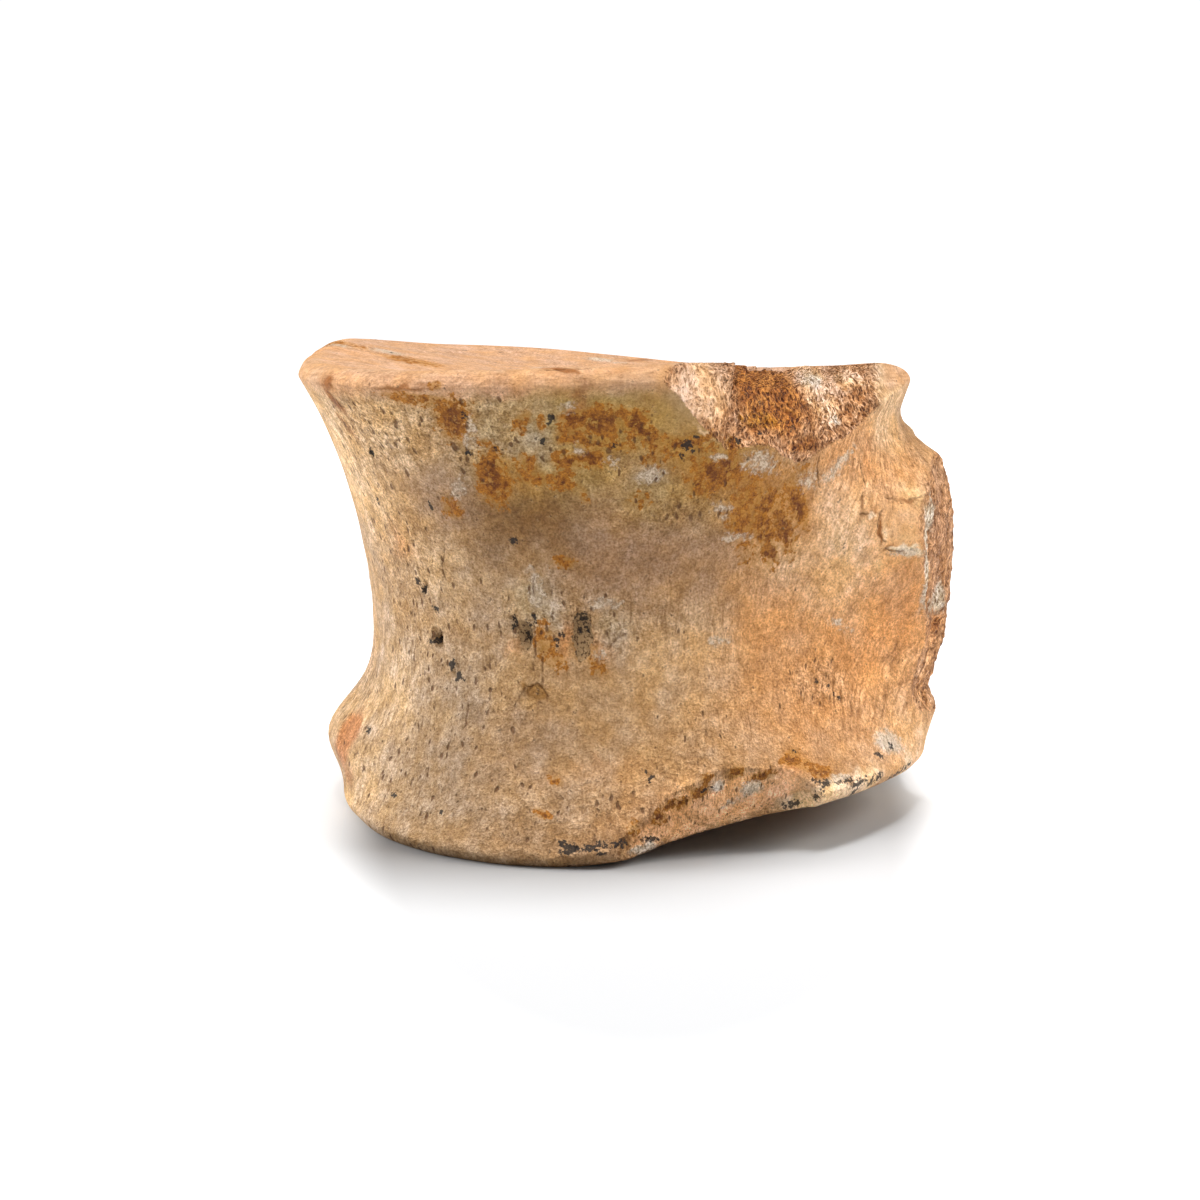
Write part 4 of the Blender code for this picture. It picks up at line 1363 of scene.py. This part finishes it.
# %% Build the bone material
def bone_material():
    material = bpy.data.materials.new("fossil_bone")
    material.use_nodes = True
    tree = material.node_tree
    surface = tree.nodes["Principled BSDF"]
    place = add(tree, "TexCoord").outputs["Object"]
    grain = add(tree, "Attribute", attribute_name="grain").outputs["Vector"]
    colour = add(tree, "Attribute", attribute_name="wash").outputs["Color"]
    porous = mask_of(tree, "porous")
    streaky = mask_of(tree, "streaky")
    calm = spread(tree, mask_of(tree, "calm"), 0.0, 1.0, 1.0, 0.45)
    broken = calc(tree, "MULTIPLY", mask_of(tree, "broken"), calm)
    lip = mask_of(tree, "lip")

    sway = add(tree, "TexNoise", {"Vector": place, "Scale": 1 / (2.6 * MM), "Detail": 2.0}).outputs["Color"]
    sway = add(tree, "VectorMath", {0: sway, 1: (0.5, 0.5, 0.5)}, operation="SUBTRACT").outputs[0]
    sway = add(tree, "VectorMath", {0: sway, 3: 1.6 * MM}, operation="SCALE").outputs[0]
    grain = add(tree, "VectorMath", {0: grain, 1: sway}, operation="ADD").outputs[0]

    # mottling over millimetres, and grit
    mottle = cloud(tree, place, 2.2 * MM, 4.0, 0.62)
    blots = cloud(tree, place, 0.85 * MM, 3.0, 0.6)
    grit = cloud(tree, place, 0.3 * MM, 3.0, 0.7)
    tint = cloud(tree, place, 4.5 * MM, 3.0)
    rough_skin = spread(tree, porous, -0.6, 1.0, 0.45, 0.98)
    rough_skin = calc(tree, "SUBTRACT", rough_skin, scaled(tree, lip, 0.25))
    rough_skin = calc(tree, "MULTIPLY", rough_skin, calm)
    colour = shaded(tree, colour, tint, 0.36, 0.64, (1.03, 0.98, 0.84), (0.98, 1.03, 1.16))
    colour = shaded(tree, colour, mottle, 0.36, 0.64, (0.73, 0.67, 0.55), (1.25, 1.31, 1.4), rough_skin)
    colour = shaded(tree, colour, blots, 0.36, 0.64, (0.76, 0.7, 0.58), (1.2, 1.25, 1.33), rough_skin)
    colour = shaded(tree, colour, grit, 0.36, 0.64, (0.54, 0.48, 0.4), (1.42, 1.48, 1.56), rough_skin)

    # fibres: up and down the side, along the rim on the lip
    lines = cloud(tree, stretch(tree, grain, 0.12), 0.42 * MM, 3.0, 0.55)
    flat = add(tree, "Mapping", {"Vector": place, "Scale": (0.14, 0.14, 1)}).outputs[0]
    rings = cloud(tree, flat, 0.4 * MM, 3.0, 0.55)
    fibres = add(tree, "Mix", {0: lip, 2: lines, 3: rings}, data_type="FLOAT").outputs[0]
    drawn = calc(tree, "MAXIMUM", spread(tree, streaky, 0.0, 1.0, 0.1, 1.0), lip)
    drawn = calc(tree, "MULTIPLY", drawn, spread(tree, tint, 0.35, 0.6, 0.35, 1.0))
    drawn = calc(tree, "MULTIPLY", drawn, calm)
    colour = shaded(tree, colour, fibres, 0.37, 0.63, (0.72, 0.64, 0.52), (1.28, 1.36, 1.48), drawn)

    # ochre stains and pale crusts
    heart = calc(tree, "SUBTRACT", calc(tree, "MULTIPLY_ADD", blots, 3.0, -1.5), mask_of(tree, "ochre"))
    ochre_tone = blend(tree, steps(tree, heart, -1.4, -0.4), TONES["ochre_dark"], TONES["ochre"])
    ochre = ragged(tree, place, mask_of(tree, "ochre"), 900, 3.2, 0.2)
    soaked = scaled(tree, steps(tree, mask_of(tree, "ochre"), 0.05, 0.6), 0.55)
    colour = blend(tree, soaked, colour, TONES["soaked"])
    colour = blend(tree, scaled(tree, ochre, 0.92), colour, ochre_tone)
    colour = shaded(tree, colour, grit, 0.36, 0.64, (0.6, 0.52, 0.42), (1.32, 1.36, 1.4), ochre)
    crust_tone = blend(tree, steps(tree, grit, 0.36, 0.58), TONES["white_dark"], TONES["white"])
    crust = ragged(tree, place, mask_of(tree, "white"), 1300, 2.8, 0.42)
    haze = scaled(tree, steps(tree, mask_of(tree, "white"), 0.1, 0.9), 0.3)
    colour = blend(tree, haze, colour, TONES["white"])
    colour = blend(tree, scaled(tree, crust, 0.8), colour, crust_tone)

    # broken bone: holes between struts
    splinters = cloud(tree, stretch(tree, grain, 0.3), 0.36 * MM, 3.0, 0.6)
    cells = add(tree, "TexVoronoi", {
        "Vector": stretch(tree, grain, 0.45), "Scale": 1 / (0.38 * MM), "Randomness": 1.0,
    }, feature="DISTANCE_TO_EDGE").outputs["Distance"]
    open_cells = calc(tree, "MULTIPLY", steps(tree, cells, 0.06, 0.3), steps(tree, splinters, 0.6, 0.4))
    sponge = calc(tree, "MULTIPLY", open_cells, broken)
    colour = shaded(tree, colour, mottle, 0.4, 0.6, (0.82, 0.74, 0.6), (1.12, 1.18, 1.28), broken)
    colour = shaded(tree, colour, splinters, 0.4, 0.6, (0.6, 0.48, 0.32), (1.28, 1.38, 1.52), broken)
    colour = shaded(tree, colour, cells, 0.0, 0.3, (1.25, 1.3, 1.4), (0.86, 0.82, 0.74), broken)
    colour = blend(tree, scaled(tree, sponge, 0.9), colour, (0.4, 0.25, 0.13, 1), "MULTIPLY")

    # pores and grooves
    pores = holes(tree, stretch(tree, grain, 0.55), 1.0 * MM, 0.3, scaled(tree, porous, 0.7))
    specks = holes(tree, stretch(tree, grain, 0.7), 0.65 * MM, 0.28, scaled(tree, porous, 0.4))
    grooves = calc(tree, "MULTIPLY", steps(tree, lines, 0.36, 0.28), spread(tree, streaky, 0, 1, 0.05, 0.8))
    dark = calc(tree, "MAXIMUM", scaled(tree, pores, 0.8), scaled(tree, specks, 0.5))
    dark = calc(tree, "MAXIMUM", dark, scaled(tree, grooves, 0.5))
    colour = blend(tree, dark, colour, TONES["pore"])

    # openings, cracks and black mineral
    opening = mask_of(tree, "opening")
    fill = calc(tree, "SUBTRACT", grit, scaled(tree, blots, 0.6))
    fill_tone = blend(tree, steps(tree, fill, 0.08, 0.17), TONES["hollow"], TONES["fill"])
    sunk = steps(tree, calc(tree, "ADD", opening, calc(tree, "MULTIPLY_ADD", blots, 1.6, -0.8)), 0.2, 0.45)
    colour = blend(tree, scaled(tree, sunk, 0.9), colour, fill_tone)
    colour = blend(tree, mask_of(tree, "crack"), colour, TONES["crack"])
    mineral = ragged(tree, place, mask_of(tree, "black"), 2300, 2.4, 0.16)
    colour = blend(tree, scaled(tree, mineral, 0.92), colour, TONES["black"])

    # relief
    relief = scaled(tree, mottle, 1.6)
    for pattern, height in (
        (grit, 0.7), (blots, 0.9), (fibres, drawn), (splinters, broken), (dark, -1.0),
        (sponge, -1.2), (crust, 0.4),
    ):
        relief = calc(tree, "MULTIPLY_ADD", pattern, height, relief)
    bump = add(tree, "Bump", {"Height": relief, "Strength": 1.0, "Distance": 0.45 * MM}).outputs[0]

    rough = spread(tree, mottle, 0.3, 0.7, 0.58, 0.8)
    tree.links.new(colour, surface.inputs["Base Color"])
    tree.links.new(rough, surface.inputs["Roughness"])
    tree.links.new(bump, surface.inputs["Normal"])
    surface.inputs["Specular IOR Level"].default_value = 0.3
    return material


bone_mesh.materials.append(bone_material())
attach(bone, "root")
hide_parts("vertebra")

# %% [markdown]
# ## The room
# The fossil stands on a plain, nearly white floor that runs into a white
# background without an edge, so the floor glows a little away from the bone.
# Nearer in, beside the bone, the floor also glows outside an oval. That glow is
# painted light, which lifts the shadows that the side lamps cast there.
# The studio light is soft: a wide lamp above and in front, one at the left and a
# warmer one at the right. The paper has a lamp of its own straight above, so
# that the shadow stays close round the foot; the bone's upper lamp skips it.

# %% Floor
FLOOR_HALF = 4.0
GLOW_FROM, GLOW_TO, GLOW_STRENGTH = 0.16, 0.42, 0.9
PAPER = (0.53, 0.54, 0.555, 1)
# Beside the bone the paper glows outside an oval, as painted light over the side
# lamps' shadows: its middle and its half sizes
OVAL_AT, OVAL_HALF = (1 * MM, 0, 0), (42 * MM, 120 * MM)
# Where the painted light beside the bone begins, where it is full, and how bright it is
OVAL_FROM, OVAL_TO, OVAL_PAINTED_LIGHT = 0.82, 1.06, 0.7

shape = bmesh.new()
bmesh.ops.create_grid(shape, x_segments=1, y_segments=1, size=FLOOR_HALF)
floor_mesh = bpy.data.meshes.new("floor")
shape.to_mesh(floor_mesh)
shape.free()
floor = bpy.data.objects.new("floor", floor_mesh)
bpy.context.scene.collection.objects.link(floor)


def paper_material():
    material = bpy.data.materials.new("white_paper")
    material.use_nodes = True
    tree = material.node_tree
    surface = tree.nodes["Principled BSDF"]
    place = add(tree, "TexCoord").outputs["Object"]
    away = add(tree, "VectorMath", {0: place}, operation="LENGTH").outputs["Value"]
    glow = steps(tree, away, GLOW_FROM, GLOW_TO)
    moved = add(tree, "VectorMath", {0: place, 1: OVAL_AT}, operation="SUBTRACT").outputs[0]
    moved = add(tree, "VectorMath", {
        0: moved, 1: (1 / OVAL_HALF[0], 1 / OVAL_HALF[1], 0),
    }, operation="MULTIPLY").outputs[0]
    oval = add(tree, "VectorMath", {0: moved}, operation="LENGTH").outputs["Value"]
    # Painted light: outside the oval the floor glows, which lifts the shadows beside the bone
    glow = calc(tree, "MAXIMUM", glow, scaled(tree, steps(tree, oval, OVAL_FROM, OVAL_TO), OVAL_PAINTED_LIGHT))
    grey = add(tree, "CombineColor", {0: glow, 1: glow, 2: glow}).outputs[0]
    tree.links.new(grey, surface.inputs["Emission Color"])
    surface.inputs["Emission Strength"].default_value = GLOW_STRENGTH
    surface.inputs["Base Color"].default_value = PAPER
    surface.inputs["Roughness"].default_value = 0.9
    surface.inputs["Specular IOR Level"].default_value = 0.1
    return material


floor_mesh.materials.append(paper_material())


# %% Lights
def area_light(name, place, aim, size, power, colour=(1, 1, 1)):
    """A soft square light at a place, turned towards a point."""
    lamp = bpy.data.lights.new(name, "AREA")
    lamp.shape = "SQUARE"
    lamp.size = size
    lamp.energy = power
    lamp.color = colour
    thing = bpy.data.objects.new(name, lamp)
    thing.location = place
    thing.rotation_euler = (Vector(aim) - Vector(place)).to_track_quat("-Z", "Y").to_euler()
    bpy.context.scene.collection.objects.link(thing)
    return thing


def shine_only_on(lamp, target):
    """Keeps a lamp's light to one object. The others still cast their shadows in it."""
    lit = bpy.data.collections.new(lamp.name + "_lit")
    lit.objects.link(target)
    lamp.light_linking.receiver_collection = lit


MIDDLE = (0, 0, 0.03)
light_top = area_light("light_top", (-0.1, -0.25, 0.8), MIDDLE, 0.4, 8.3)
light_back = area_light("light_back", (0.02, 0.06, 0.8), MIDDLE, 0.3, 7.8)
shine_only_on(light_top, bone)
shine_only_on(light_back, floor)
area_light("light_left", (-0.75, 0.1, 0.3), MIDDLE, 0.35, 4.25, (1, 0.98, 0.96))
area_light("light_right", (0.7, 0.1, 0.45), MIDDLE, 0.4, 4.65, (1, 0.96, 0.9))

# %% World
# The camera sees the background brighter than it lights the bone
WORLD_LIGHT, WORLD_SEEN = 0.2, 1.05
world = bpy.data.worlds.new("studio")
world.use_nodes = True
nodes = world.node_tree
background = nodes.nodes["Background"]
background.inputs["Color"].default_value = (1, 1, 1, 1)
seen = add(nodes, "LightPath").outputs["Is Camera Ray"]
strength = add(nodes, "MapRange", {"Value": seen, "To Min": WORLD_LIGHT, "To Max": WORLD_SEEN})
nodes.links.new(strength.outputs["Result"], background.inputs["Strength"])
bpy.context.scene.world = world
bpy.context.scene.view_settings.view_transform = "Standard"

# %% Camera
SENSOR = 36
NEAREST_SEEN = 10 * MM
camera_data = bpy.data.cameras.new("camera")
camera_data.sensor_width = SENSOR
camera_data.lens = FOCAL_PIXELS / PHOTO_SIZE * SENSOR
camera_data.clip_start = NEAREST_SEEN
camera = bpy.data.objects.new("camera", camera_data)
camera.location = CAMERA_PLACE + Vector(shift)
camera.rotation_euler = (math.pi / 2 - CAMERA_RISE, 0, 0)
bpy.context.scene.collection.objects.link(camera)
bpy.context.scene.camera = camera
